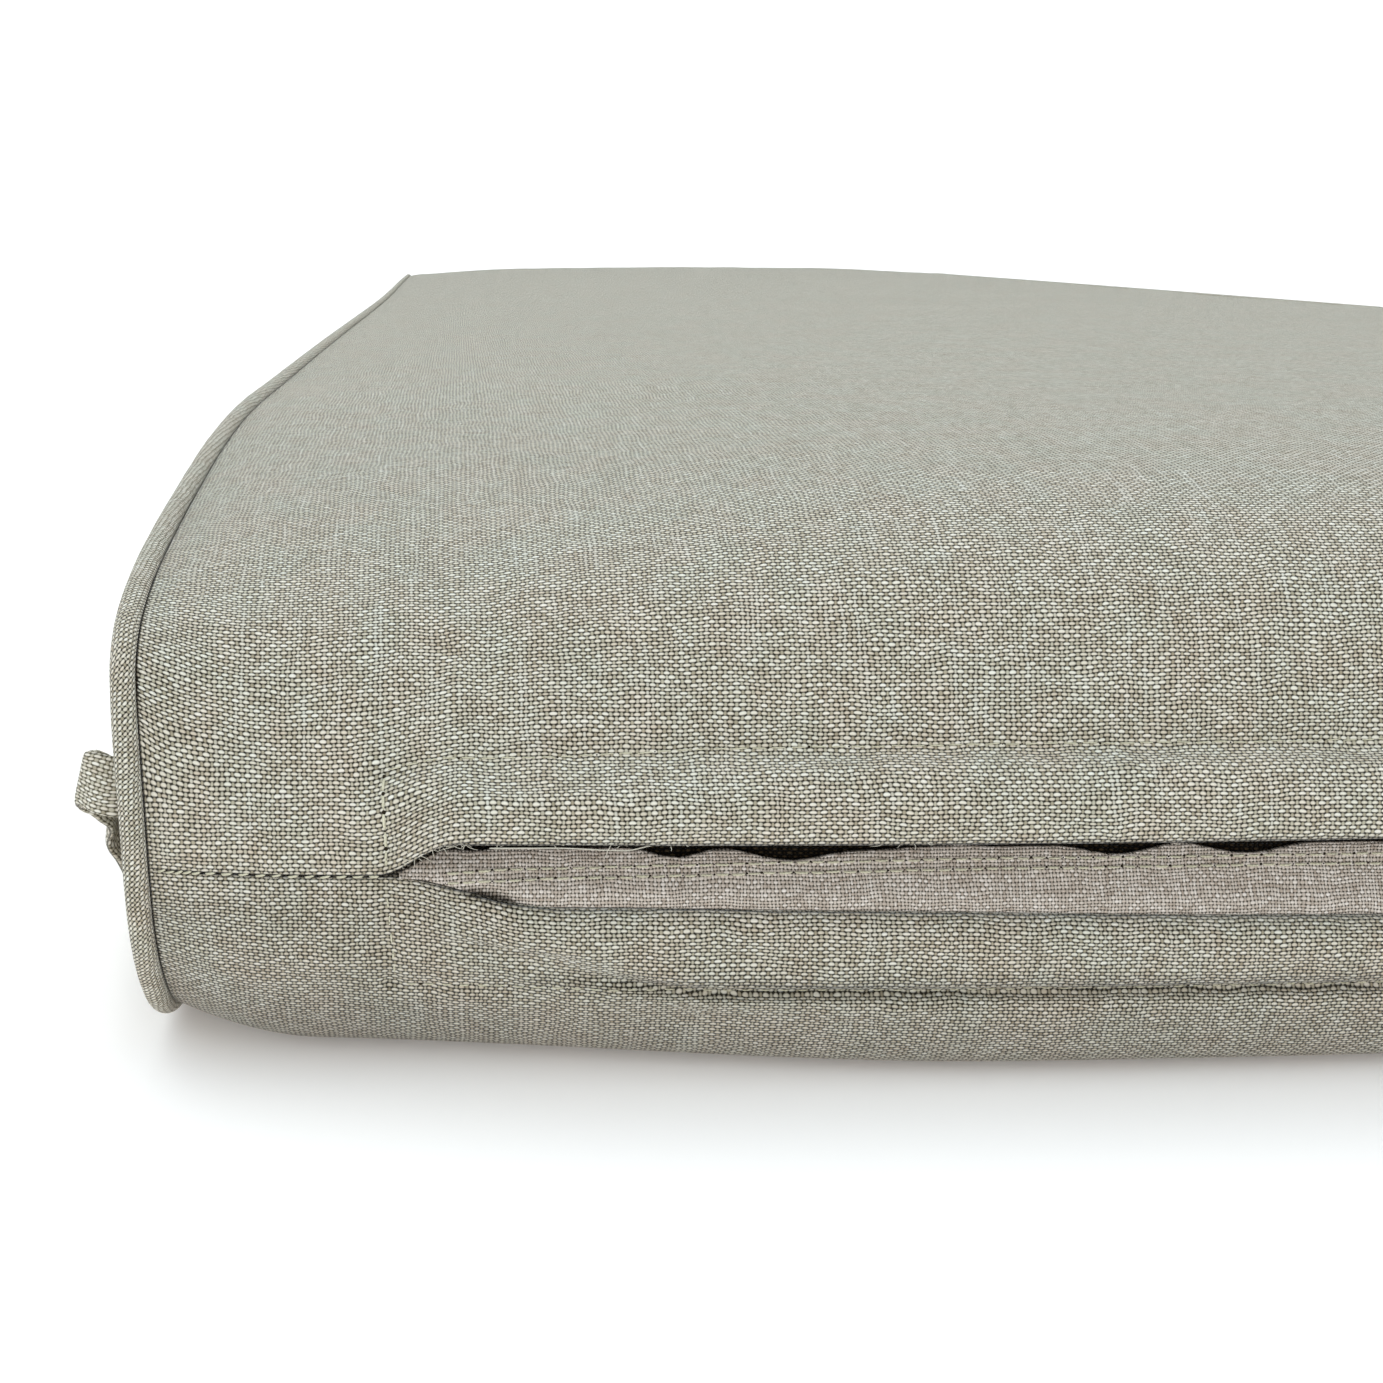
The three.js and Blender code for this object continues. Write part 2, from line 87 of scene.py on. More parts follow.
# Section of the closure end, from the top round the nose to the floor: name, kind, quick share,
# and (y, z) on the piping line, 30 mm in from it, and where the slit is open. y runs inwards
# from the nose.
CLOSURE_ROWS = [
    ("top", "form", 0, (171, 96.0), (170, 99.6), (172, 103.2)),
    ("top", "form", 0, (120, 93.6), (120, 97.6), (122, 102.4)),
    ("crown", "form", 0, (80, 89.8), (80, 94.6), (85, 101.4)),
    ("crown", "form", 0, (50, 86.4), (50, 90.6), (56, 100.0)),
    ("crown", "form", 0, (30, 83.4), (32, 85.8), (37, 97.9)),
    ("shoulder", "form", 0, (17, 80.4), (21, 80.8), (26, 94.6)),
    ("shoulder", "form", 0.03, (8.5, 76.9), (14, 75.8), (17.6, 89.6)),
    ("shoulder", "form", 0.08, (3.8, 72.5), (9.6, 70.0), (11.8, 84.0)),
    ("front", "form", 0.18, (2.1, 66.5), (6.6, 64.2), (8.2, 77.4)),
    ("front", "form", 0.35, (1.6, 60.0), (4.0, 58.4), (5.5, 69.6)),
    ("front", "form", 0.62, (1.5, 55.0), (2.4, 53.2), (3.7, 63.4)),
    ("stitch line", "form", 0.82, (1.5, 50.5), (1.3, 49.4), (2.4, 59.0)),
    ("lap", "form", 0.72, (1.5, 46.6), (0.4, 45.6), (-2.0, 56.2)),
    ("lap", "lap", 0, (1.5, 43.4), (-0.2, 42.4), (-4.6, 51.8)),
    ("lip", "lip", 0, (1.5, 39.6), (-0.45, 39.5), (-5.2, 46.4)),
    ("lip", "lip", 0, (1.5, 38.5), (-0.4, 38.5), (-4.4, 45.2)),
    ("lip back", "lip", 0, (1.5, 38.3), (0.2, 38.2), (0.5, 45.6)),
    ("pocket", "lip", 0, (1.5, 38.2), (0.8, 38.1), (9.0, 45.8)),
    ("pocket", "lip", 0, (1.5, 38.1), (1.0, 38.0), (9.2, 42.6)),
    ("tape bed", "lip", 0, (1.5, 38.0), (0.8, 37.95), (4.4, 42.2)),
    ("tape bed", "band", 0, (1.5, 37.9), (0.5, 37.9), (1.1, 28.9)),
    ("band edge", "band", 0, (1.5, 37.8), (0.1, 37.8), (-0.7, 28.8)),
    ("band edge", "band", 0, (1.5, 37.6), (-0.45, 37.6), (-0.8, 30.7)),
    ("band", "band", 0, (1.5, 36.4), (-0.6, 36.4), (-2.0, 30.3)),
    ("band", "band", 0, (1.7, 33.0), (-0.7, 33.4), (-3.8, 27.4)),
    ("band", "band", 0, (2.1, 29.4), (-0.7, 30.2), (-3.6, 23.2)),
    ("fold", "fold", 0, (2.8, 26.5), (-0.4, 26.8), (-2.6, 19.6)),
    ("fold", "fold", 0, (3.6, 24.0), (0.0, 23.8), (-0.2, 17.9)),
    ("fold", "fold", 0, (4.9, 21.0), (0.9, 20.6), (-1.5, 16.6)),
    ("under", "form", 0, (8.0, 16.0), (3.2, 15.2), (-0.4, 11.2)),
    ("under", "form", 0, (13.0, 10.4), (6.8, 9.4), (2.2, 5.6)),
    ("under", "form", 0, (20.0, 6.0), (11.4, 4.2), (5.6, 2.0)),
    ("contact", "form", 0, (29.0, 3.5), (18.0, 0.8), (11.0, 0.3)),
    ("floor", "form", 0, (42.0, 2.9), (31.0, 0.0), (24.0, 0.0)),
]
SEAM_CLOSED_WITHOUT = ("lap", "lip back", "pocket", "band edge")    # rows that the head end lacks
SHARP = ("lip back", "pocket", "tape bed", "band edge")             # rows that the cloth turns at
HEAD_SEAM_SHIFT = (0.6, 1.0)    # of the rows beside the head end's closed seam
STRAIGHT_HEAD_FROM = 0.7    # rows of this quick share lie beside the head end's closed seam
TOP_SHARES = (0.06, 0.16, 0.3, 0.5, 0.7, 0.84, 0.94)
BOTTOM_SHARES = (0.1, 0.35, 0.65, 0.9)
TOP_FROM = 170
TOP_HEIGHTS = ((96, 97), (99.6, 100.4), (103.2, CROWN_HEIGHT))
BOTTOM_HEIGHTS = ((2.9, 2.9), (0, 0), (0, 0))

# Longest step of the fine mesh along the closure end, for each kind of row, and elsewhere
ROW_STEPS = {"top": 9.0, "crown": 4.0, "shoulder": 2.4, "under": 2.4, "contact": 5.0, "floor": 60.0}
FRONT_STEP = 1.4
HEAD_STEP = 4.5
TOP_STEP = 20.0
BOTTOM_STEP = 60.0
EDGE_STEP = 0.35            # of the first station from the seam
# Distances in from the side of the fine mesh's stations: (to, step) runs
STATION_RUNS = ((24, 2.1), (72, 1.35), (205, 2.7), (HALF_WIDTH - 3, 6.5))


def add_object(name, data):
    item = bpy.data.objects.new(name, data)
    scene.collection.objects.link(item)
    return item


def smooth(start, stop, value):
    t = np.clip((value - start) / (stop - start), 0, 1)
    return t * t * (3 - 2 * t)


def mix(a, b, share):
    return a + (b - a) * share


def joined(*numbers):
    """Points or cloth places from the arrays of their numbers."""
    return np.stack(np.broadcast_arrays(*numbers), axis=-1)


def unit(vectors):
    return vectors / np.maximum(np.linalg.norm(vectors, axis=-1, keepdims=True), 1e-9)


def travelled(line):
    """How far along a line of points each one lies from the first."""
    return np.concatenate([[0], np.cumsum(np.linalg.norm(np.diff(line, axis=0), axis=1))])


def table_value(place, table):
    """The value at a place, from a table of (place, value)."""
    return np.interp(place, *zip(*table))


def columns_at(place, places, values):
    """What each column of values is at a place, from the places of its rows."""
    return np.array([np.interp(place, places, column) for column in values.T])


def hill(value, middle, reach, power=2):
    """1 in the middle, and less and less to either side."""
    return np.exp(-((value - middle) / reach) ** power)


def turns(sides):
    """The angles of a ring's points, and the first one once more."""
    return 2 * np.pi * np.arange(sides + 1) / sides


def closed(grid):
    """The grid with its first column once more at its end."""
    return np.concatenate([grid, grid[:, :1]], axis=1)


def squares(grid):
    """What a grid holds at the four corners of each square between its rows and columns."""
    corners = (grid[:-1, :-1], grid[1:, :-1], grid[1:, 1:], grid[:-1, 1:])
    return np.stack(corners, axis=2).reshape((-1, 4) + grid.shape[2:])


def make_rows():
    """The rows of the closed loop, from the middle of the underside up the head end, forward
    along the top, down the closure end and back underneath."""
    keys = ("name", "kind", "quick", "edge", "near", "open", "end")

    def end_row(row, end):
        name, kind, quick, edge, near, opened = row
        if end > 0 and (kind != "form" or quick > STRAIGHT_HEAD_FROM):
            opened = (near[0] + HEAD_SEAM_SHIFT[0], near[1] + HEAD_SEAM_SHIFT[1])
        return dict(zip(keys, (name, kind, quick, edge, near, opened, end)))

    def middle_row(share, heights, name):
        y = mix(TOP_FROM + CLOSURE_NOSE, HEAD_NOSE - TOP_FROM, share)
        rise = math.sin(math.pi * share)
        places = [(y, mix(low, high, rise)) for low, high in heights]
        return dict(zip(keys, (name, "form", 0, *places, 0)))

    closure = [end_row(row, -1) for row in CLOSURE_ROWS]
    head = [end_row(row, 1) for row in CLOSURE_ROWS if row[0] not in SEAM_CLOSED_WITHOUT]
    below = [middle_row(share, BOTTOM_HEIGHTS, "floor") for share in BOTTOM_SHARES]
    above = [middle_row(share, TOP_HEIGHTS, "top") for share in TOP_SHARES]
    return below[2:] + head[::-1] + above[::-1] + closure + below[:2]


ROWS = make_rows()


def row_number(name, which=0):
    """Where a row of the closure end stands in the loop."""
    return [i for i, row in enumerate(ROWS) if row["name"] == name and row["end"] < 0][which]


def row_y(row, y, shift):
    if row["end"] == 0:
        return y + 0 * shift
    if row["end"] < 0:
        return y - shift + CLOSURE_NOSE
    return HEAD_NOSE - y + shift


def side_at(y):
    return HALF_WIDTH - SIDE_DRAW_IN * np.cos(np.pi * y / LENGTH) ** SIDE_DRAW_POWER


def bow(inward):
    return END_BOW * (1 - (1 - np.minimum(inward, HALF_WIDTH) / HALF_WIDTH) ** END_BOW_POWER)


def row_points(inward):
    """(y, z) of every row at every distance in from the side: stations by rows by 2."""
    near = 1 - (1 - np.clip((inward - SEAM_INSET) / NEAR_REACH, 0, 1)) ** 2
    points = np.zeros((len(inward), len(ROWS), 2))
    for r, row in enumerate(ROWS):
        slow = sum(share * smooth(start, stop, inward) for share, start, stop in OPENING[row["kind"]])
        opened = mix(slow, smooth(*QUICK_RUN, inward), row["quick"])
        y, z = (mix(mix(row["edge"][k], row["near"][k], near), row["open"][k], opened) for k in (0, 1))
        points[:, r, 0] = row_y(row, y, bow(inward))
        points[:, r, 1] = z
    return points


def spline(p0, p1, p2, p3, share):
    """A point between p1 and p2 on the centripetal curve through four points."""
    def knot(a, b):
        return np.maximum(np.linalg.norm(b - a, axis=-1, keepdims=True), 1e-4) ** 0.5
    t1 = knot(p0, p1)
    t2 = t1 + knot(p1, p2)
    t3 = t2 + knot(p2, p3)
    t = mix(t1, t2, share)
    a1 = (t1 - t) / t1 * p0 + t / t1 * p1
    a2 = (t2 - t) / (t2 - t1) * p1 + (t - t1) / (t2 - t1) * p2
    a3 = (t3 - t) / (t3 - t2) * p2 + (t - t2) / (t3 - t2) * p3
    b1 = (t2 - t) / t2 * a1 + t / t2 * a2
    b2 = (t3 - t) / (t3 - t1) * a2 + (t - t1) / (t3 - t1) * a3
    return (t2 - t) / (t2 - t1) * b1 + (t - t1) / (t2 - t1) * b2


def row_steps(row, following):
    """How many steps the fine mesh takes from one row to the next."""
    def place(r, key):
        return (row_y(r, r[key][0], 0), r[key][1])
    reach = max(math.dist(place(row, key), place(following, key)) for key in ("near", "open"))
    if row["name"] == following["name"] == "floor":
        step = BOTTOM_STEP
    elif row["end"] == 0 or following["end"] == 0:
        step = TOP_STEP
    elif row["end"] > 0:
        step = HEAD_STEP
    else:
        step = ROW_STEPS.get(row["name"], FRONT_STEP)
    return max(1, math.ceil(reach / step))


def fine_loop(coarse):
    """The fine mesh's columns through the rows, stations by columns by 2, and the place of each
    in the loop: the number of the row before it plus its share of the way on."""
    count = len(ROWS)
    columns, places = [], []
    for r, row in enumerate(ROWS):
        following = ROWS[(r + 1) % count]
        p0, p1, p2, p3 = (coarse[:, (r + k) % count] for k in (-1, 0, 1, 2))
        straight = row["name"] in SHARP or following["name"] in SHARP
        steps = row_steps(row, following)
        for k in range(steps):
            share = k / steps
            columns.append(mix(p1, p2, share) if straight else spline(p0, p1, p2, p3, share))
            places.append(r + share)
    return np.stack(columns, axis=1), np.array(places)


def station_distances():
    inward = [SEAM_INSET, SEAM_INSET + EDGE_STEP]
    for stop, step in STATION_RUNS:
        count = max(1, round((stop - inward[-1]) / step))
        inward += list(np.linspace(inward[-1], stop, count + 1)[1:])
    return np.array(inward)


def lattice_noise(x, y, size, seed):
    """Smooth noise of about -1 to 1, with features of that size (x, y)."""
    side = 64
    table = np.random.default_rng(seed).uniform(-1, 1, (side, side))
    x, y = np.asarray(x) / size[0], np.asarray(y) / size[1]
    i, j = np.floor(x).astype(int), np.floor(y).astype(int)
    fx, fy = smooth(0, 1, x - i), smooth(0, 1, y - j)
    corner = [[table[(i + a) % side, (j + b) % side] for b in (0, 1)] for a in (0, 1)]
    return mix(mix(corner[0][0], corner[1][0], fx), mix(corner[0][1], corner[1][1], fx), fy)


def lumps(x, y, kinds, shift=0):
    """Unevenness, summed from kinds of it as (size, seed, height)."""
    return sum(height * lattice_noise(x, y, size, seed + shift) for size, seed, height in kinds)


# Lumps of the filling under the cover
FILLING_LUMPS = (((70, 46), 3, 0.55), ((24, 17), 5, 0.14))
LUMPS_FROM = (SEAM_INSET, 22), (2, 14)  # the runs over which they come in, inwards and upwards
SLIT_CALM = (43, 9, 40)     # no lumps about this height, within this reach of it and of the nose

# Topstitching beside the slit: (distance in from the side, height) along the row above it
TOP_STITCHES = ((42.6, 55.2), (45.7, 55.9), (49.9, 57.0), (53, 57.5), (71, 57.8), (94, 59.1),
                (142, 59.7), (HALF_WIDTH, 59.6))
SIDE_STITCH_INSET = 43.2    # the row down the slit's end
BOTTOM_STITCH_HEIGHT = 18.3
# How the cloth is drawn in along its topstitching: reach to either side, depth, and how much
# deeper it is between its puckers
TOP_DRAW = (1.5, 0.25, 0.2)
SIDE_DRAW = (1.7, 0.35, 0.35)
BOTTOM_DRAW = (1.5, 0.2, 0.2)
PUCKER_DRIFT = (((11, 30), 8, 3),)      # unevenness of the puckers' spacing
# How far the lap swells, and the distances below the top row where that comes and goes
LAP_SWELL = (0.35, (0.4, 2.8), (9, 5))
FRONT_REACH = 20            # how far behind the nose the top row may lie

# How the weft is pulled beside the end seam, above and below the slit: by how much, and over
# which runs of the cloth it comes and goes
PULL_REACH = 9
PULL_ABOVE = (-5.5, (4, 26), (110, 60))
PULL_BELOW = (2.0, (3, 16), (60, 30))
EVENING = 0.4               # how fast the weft's bends even out away from the slit
EVENING_SPREADS = np.array([0.0, 1.5, 3.0, 6.0, 10.0, 16.0])
STRAIGHTENING = (0.1, 1)    # where it gets straight, as shares of the way up to the top

CREASE = (60.0, 4.6, 0.85)  # middle, reach and depth of the painted shade in the crease beside the slit's start
CREASE_BELOW = 0.2          # its share just below the band's edge
# Painted shade on the cloth behind the lip, in the slit's gap: (distance in from the side, shade)
INSIDE_SHADES = ((43, 0.75), (45.5, 0.4), (51, 0.5), (56, 1.0))
INSIDE_FROM = (4.6, 7)      # where that shade comes in, past the end of the seam
RIM_OPENS = (49, 56)        # where the painted shade on the lip's rim deepens
RIM_SHADES = (0.2, 0.85)    # how much painted shade it has before and after that
LIP_SHADE = 0.3             # painted shade on the lip there, in front of its rim
# Painted shade, darkening the cloth's colour low down at the ends and in the groove under the fold
PAINTED_LOW_SHADE = 0.13                 # how much painted shade the ends get low down
PAINTED_LOW_SHADE_HEIGHTS = (26, 5)      # where that begins, and where it is full
PAINTED_LOW_SHADE_REACH = (40, 10)       # the same, as distances from the nose
SEAM_PAINTED_LOW_SHADE = (0.1, 0.04)     # how much painted shade they get below the slit, beside the corner and further in
SEAM_PAINTED_LOW_SHADE_RUN = (40, 70)    # where the one becomes the other
SEAM_PAINTED_LOW_SHADE_HEIGHTS = (40, 33)
GROOVE = (19.4, 1.7, 0.22)  # height, reach and depth of the painted shade in the groove under the fold
GROOVE_RUN = (50, 90)       # where it comes in from the side
GROOVE_REACH = 8            # from the nose


def drawn_in(away, pucker, reach, depth, deeper):
    """How deep the cloth is drawn in at a distance away from a row of stitches."""
    return hill(away, 0, reach) * (depth + deeper * pucker)


def painted_crease_shade(inward):
    """How much painted shade lies in the short crease where the tape first dives behind the band."""
    middle, reach, shade = CREASE
    return shade * hill(inward, middle, reach, power=4)


def painted_low_and_groove_shade(points):
    """Painted shade: the cloth's colour is a little darker in the groove of the fold and low down at
    the ends.
    """
    y, z = points[..., 1], points[..., 2]
    inward = HALF_WIDTH - np.abs(points[..., 0])
    height, reach, shade = GROOVE
    seam = mix(*SEAM_PAINTED_LOW_SHADE, smooth(*SEAM_PAINTED_LOW_SHADE_RUN, inward)) * smooth(*SEAM_PAINTED_LOW_SHADE_HEIGHTS, z)
    low = (PAINTED_LOW_SHADE * smooth(*PAINTED_LOW_SHADE_HEIGHTS, z) + seam) * smooth(*PAINTED_LOW_SHADE_REACH, y - CLOSURE_NOSE)
    groove = shade * hill(z, height, reach) * (y < CLOSURE_NOSE + GROOVE_REACH)
    return low + groove * smooth(*GROOVE_RUN, inward)


# The filling's pressure on the cover, in a short cloth simulation on a coarser grid of points
SETTLE_SPACING = 7.0        # least distance between its points
SETTLE_PRESSURE = 0.4
SETTLE_SHRINK = -0.004      # the cloth is cut a little larger than the filling
SETTLE_STIFFNESS = 15
SETTLE_MASS = 0.3
SETTLE_FRAMES = 20
SETTLE_BLUR = 24            # passes that smooth away its creases, to leave its broad swell
SETTLE_LIMIT = 2.0          # the most that a crease may stand out or sink in
SETTLE_HOLD = (3, 62, 42)   # held up to here all over, and near the closure and head noses
SETTLE_NEAR = 30            # how near a nose that is
SETTLE_SOFTENING = 6        # smoothing passes over the finished creases
# Runs over which they come in: from the side, upwards, and from the closure's and head's noses
SETTLE_RUNS = ((SEAM_INSET, 40), (3, 20), (15, 90), (15, 60))


def spaced(values, gap):
    """Numbers of the values that lie at least gap apart, the first and last among them."""
    kept = [0]
    for k in range(1, len(values) - 1):
        if values[k] - values[kept[-1]] >= gap and values[-1] - values[k] >= gap:
            kept.append(k)
    return np.array(kept + [len(values) - 1])


def softened(grid, passes):
    """A grid of numbers smoothed both ways, its columns round a loop."""
    for _ in range(passes):
        grid = (np.roll(grid, 1, axis=1) + 2 * grid + np.roll(grid, -1, axis=1)) / 4
        edged = np.concatenate([grid[:1], grid, grid[-1:]])
        grid = (edged[:-2] + 2 * grid + edged[2:]) / 4
    return grid


def inflate(points, held):
    """Where the points of a tube of cloth go when it is blown up while some are held still."""
    rows, columns = points.shape[:2]
    numbers = np.arange(rows * columns).reshape(rows, columns)
    faces = squares(closed(numbers))[:, ::-1]
    mesh = bpy.data.meshes.new("settling")
    mesh.from_pydata((points.reshape(-1, 3) * MM).tolist(), [], faces.tolist())
    tube = add_object("settling", mesh)
    tube.vertex_groups.new(name="held").add(np.flatnonzero(held).tolist(), 1.0, "REPLACE")
    cloth = tube.modifiers.new("settling", "CLOTH")
    cloth.point_cache.frame_end = SETTLE_FRAMES
    settings = cloth.settings
    settings.vertex_group_mass = "held"
    settings.use_pressure = True
    settings.uniform_pressure_force = SETTLE_PRESSURE
    settings.effector_weights.gravity = 0
    settings.shrink_min = SETTLE_SHRINK
    settings.tension_stiffness = settings.compression_stiffness = SETTLE_STIFFNESS
    settings.mass = SETTLE_MASS
    for number in range(1, SETTLE_FRAMES + 1):
        scene.frame_set(number)
    evaluated = tube.evaluated_get(bpy.context.evaluated_depsgraph_get())
    moved = np.empty(points.size, np.float32)
    evaluated.data.vertices.foreach_get("co", moved)
    scene.frame_set(1)
    bpy.data.objects.remove(tube)
    bpy.data.meshes.remove(mesh)
    return moved.reshape(points.shape) / MM


class Cover:
    """The main cover cloth as a grid of stations, left to right, by columns round the loop."""

    def __init__(self):
        self.distances = station_distances()
        half, self.places = fine_loop(row_points(self.distances))
        self.inward = np.concatenate([self.distances, self.distances[::-1]])
        self.side = np.where(np.arange(len(self.inward)) < len(self.distances), -1.0, 1.0)
        yz = np.concatenate([half, half[::-1]])
        share = 1 - (self.inward - SEAM_INSET) / (HALF_WIDTH - SEAM_INSET)
        x = self.side[:, None] * (side_at(yz[..., 0]) - SEAM_INSET) * share[:, None]
        self.points = np.concatenate([x[..., None], yz], axis=2)
        self.cloth = self.cloth_places()
        relief = self.relief()
        relief = relief + self.creases()
        self.points = self.points + self.normals() * relief[..., None]
        self.points[..., 2] = np.maximum(self.points[..., 2], 0.0)

    def column(self, name, which=0):
        return int(np.argmin(np.abs(self.places - row_number(name, which))))

    def cloth_places(self):
        """Where each point lies on the cloth: u along the weft, v along the warp, and how much
        painted shade its place has. v starts at the lap's lip for the cloth above the slit and at
        the band's edge for that below, and grows upwards. A last column repeats the first, a whole
        loop on."""
        around = closed(self.points)
        steps = np.linalg.norm(np.diff(around[..., 1:], axis=1), axis=2)
        along = np.concatenate([np.zeros((len(steps), 1)), np.cumsum(steps, axis=1)], axis=1)
        lip, band, top = self.column("lip"), self.column("band edge", 1), self.column("top")
        above = self.pulled(along[:, lip:lip + 1] - along, lip, 1, *PULL_ABOVE)
        below = self.pulled(along - along[:, band:band + 1], band, -1, *PULL_BELOW)
        # Once the weft is on the top, it runs straight across
        reach = above[:, top]
        straight = self.points[:, top, 1] - CLOSURE_NOSE
        middle = len(self.distances) - 1
        surplus = (reach - straight) - (reach[middle] - straight[middle])
        above = above - surplus[:, None] * smooth(*STRAIGHTENING, above / reach[:, None])
        columns = np.arange(along.shape[1])
        v = np.where(columns <= self.column("pocket", 1), above, -below)
        return joined(around[..., 0], v, self.shades(around, columns))

    def pulled(self, away, edge, way, most, coming, going):
        """Places along the warp for cloth that far away from an edge of the slit. Its weft
        follows that edge, and is pulled off it beside the end seam."""
        away = away + way * self.evened(self.points[:, edge, 2], away)
        beside = np.exp(-(self.inward[:, None] - SEAM_INSET) / PULL_REACH)
        return away + most * beside * smooth(*coming, away) * smooth(*going, away)

    def shades(self, around, columns):
        """How much painted shade each point's place has: behind the lip, in the seam beside the side
        panels, in the crease, and low down at the ends and in the fold's groove."""
        rim, bed, band = self.column("lip", 1), self.column("tape bed", 1), self.column("band edge", 1)
        inward = self.inward[:, None]
        opened = smooth(*RIM_OPENS, inward)
        shade = table_value(inward, INSIDE_SHADES) * ((columns > rim) & (columns <= bed))
        shade = shade + mix(*RIM_SHADES, opened) * (columns == rim)
        shade = shade + LIP_SHADE * opened * (columns == rim - 1)
        # Full painted shade in the seam's gap beside the piping
        shade = np.maximum(shade * smooth(*INSIDE_FROM, inward), 1.0 * (inward <= SEAM_INSET))
        crease = painted_crease_shade(inward) * ((columns == band) + CREASE_BELOW * (columns == band + 1))
        return np.maximum(np.maximum(shade, crease), painted_low_and_groove_shade(around))

    def evened(self, heights, away):
        """How much a line of weft that starts on an edge of those heights lies off its own
        distance from that edge, as its bends even out further away."""
        gap = (HALF_WIDTH - self.inward) * self.side
        offsets = [0 * heights]
        for spread in EVENING_SPREADS[1:]:
            weight = np.exp(-0.5 * ((gap[:, None] - gap[None, :]) / spread) ** 2)
            weight = weight * np.abs(np.gradient(gap))[None, :]
            offsets.append(heights - weight @ heights / weight.sum(axis=1))
        level = np.interp(np.abs(away) * EVENING, EVENING_SPREADS, np.arange(len(EVENING_SPREADS)))
        low = np.clip(level.astype(int), 0, len(EVENING_SPREADS) - 2)
        table = np.stack(offsets, axis=1)
        rows = np.arange(len(heights))[:, None]
        return mix(table[rows, low], table[rows, low + 1], level - low)

    def normals(self):
        across = np.gradient(self.points, axis=0)
        wrapped = np.concatenate([self.points[:, -1:], self.points, self.points[:, :1]], axis=1)
        return unit(np.cross(wrapped[:, 2:] - wrapped[:, :-2], across))

    def creases(self):
        """How far the simulated cloth's creases stand out at each point, away from the seams."""
        across = self.points[:, self.column("top"), 0]
        around = travelled(self.points[len(self.distances) - 1])
        rows, columns = spaced(across, SETTLE_SPACING), spaced(around, SETTLE_SPACING)
        grid = np.ix_(rows, columns)
        coarse = self.points[grid]
        y, z = coarse[..., 1], coarse[..., 2]
        low, at_closure, at_head = SETTLE_HOLD
        held = (z < low) | ((z < at_closure) & (y < CLOSURE_NOSE + SETTLE_NEAR))
        held |= (z < at_head) & (y > HEAD_NOSE - SETTLE_NEAR)
        held[[0, -1]] = True
        out = ((inflate(coarse, held) - coarse) * self.normals()[grid]).sum(axis=2)
        creases = SETTLE_LIMIT * np.tanh((out - softened(out, SETTLE_BLUR)) / SETTLE_LIMIT)
        creases = np.array([np.interp(around, around[columns], line) for line in creases])
        creases = np.array([np.interp(across, across[rows], line) for line in creases.T]).T
        y, z = self.points[..., 1], self.points[..., 2]
        places = (self.inward[:, None], z, y - CLOSURE_NOSE, HEAD_NOSE - y)
        free = math.prod(smooth(*run, place) for run, place in zip(SETTLE_RUNS, places))
        return softened(creases, SETTLE_SOFTENING) * free

    def relief(self):
        """How far each point stands out from the plain form: soft unevenness of the filling,
        and the cloth drawn in and puckered along its topstitching."""
        x, y, z = np.moveaxis(self.points, 2, 0)
        inward = self.inward[:, None] + 0 * z
        columns = np.arange(z.shape[1])
        above = (columns <= self.column("lip")) & (y < 0)
        below = (columns >= self.column("band edge", 1)) & (y < 0)
        calm, calm_height, calm_length = SLIT_CALM
        slit = hill(z, calm, calm_height) * (y < CLOSURE_NOSE + calm_length)
        from_side, upwards = LUMPS_FROM
        relief = lumps(x, y + z, FILLING_LUMPS) * smooth(*from_side, inward)
        relief = relief * (1 - slit) * smooth(*upwards, z)
        # Two stitches make one pucker
        along = np.pi * inward / STITCH + lumps(x, z, PUCKER_DRIFT)
        pucker, climb = (0.5 + 0.5 * np.sin(turn) for turn in (along, np.pi * z / STITCH + 1))
        from_top = z - table_value(inward, TOP_STITCHES)
        top_row = above * (inward > TOP_STITCHES[0][0] - 1) * (y < CLOSURE_NOSE + FRONT_REACH)
        side_row = (above | below) & (z < TOP_STITCHES[0][1] + 1) & (z > BOTTOM_STITCH_HEIGHT - 1)
        bottom_row = below & (inward > SIDE_STITCH_INSET - 1)
        relief -= top_row * drawn_in(from_top, pucker, *TOP_DRAW)
        swell, coming, going = LAP_SWELL
        relief += top_row * swell * smooth(*coming, -from_top) * smooth(*going, -from_top)
        relief -= side_row * drawn_in(inward - SIDE_STITCH_INSET, climb, *SIDE_DRAW)
        relief -= bottom_row * drawn_in(z - BOTTOM_STITCH_HEIGHT, pucker, *BOTTOM_DRAW)
        return relief

    def profile(self, grid, inward, side):
        """One station's line of points, at any distance in from a side."""
        at = np.interp(inward, self.distances, np.arange(len(self.distances)))
        low = min(int(at), len(self.distances) - 2)
        first, second = (k if side < 0 else len(grid) - 1 - k for k in (low, low + 1))
        return mix(grid[first], grid[second], at - low)

    def at_height(self, grid, inward, side, z, below=False):
        """grid's value on the closure end's front, above the slit or below it, at that height."""
        line = self.profile(self.points, inward, side)
        ends = (("band edge", 1), ("contact", 0)) if below else (("crown", 2), ("lip", 1))
        first, last = (self.column(*end) for end in ends)
        heights = line[first:last + 1, 2][::-1]
        values = self.profile(grid, inward, side)[first:last + 1][::-1]
        return columns_at(z, heights, values)

    def at_row(self, inward, side, name, which=0):
        return self.profile(self.points, inward, side)[self.column(name, which)]


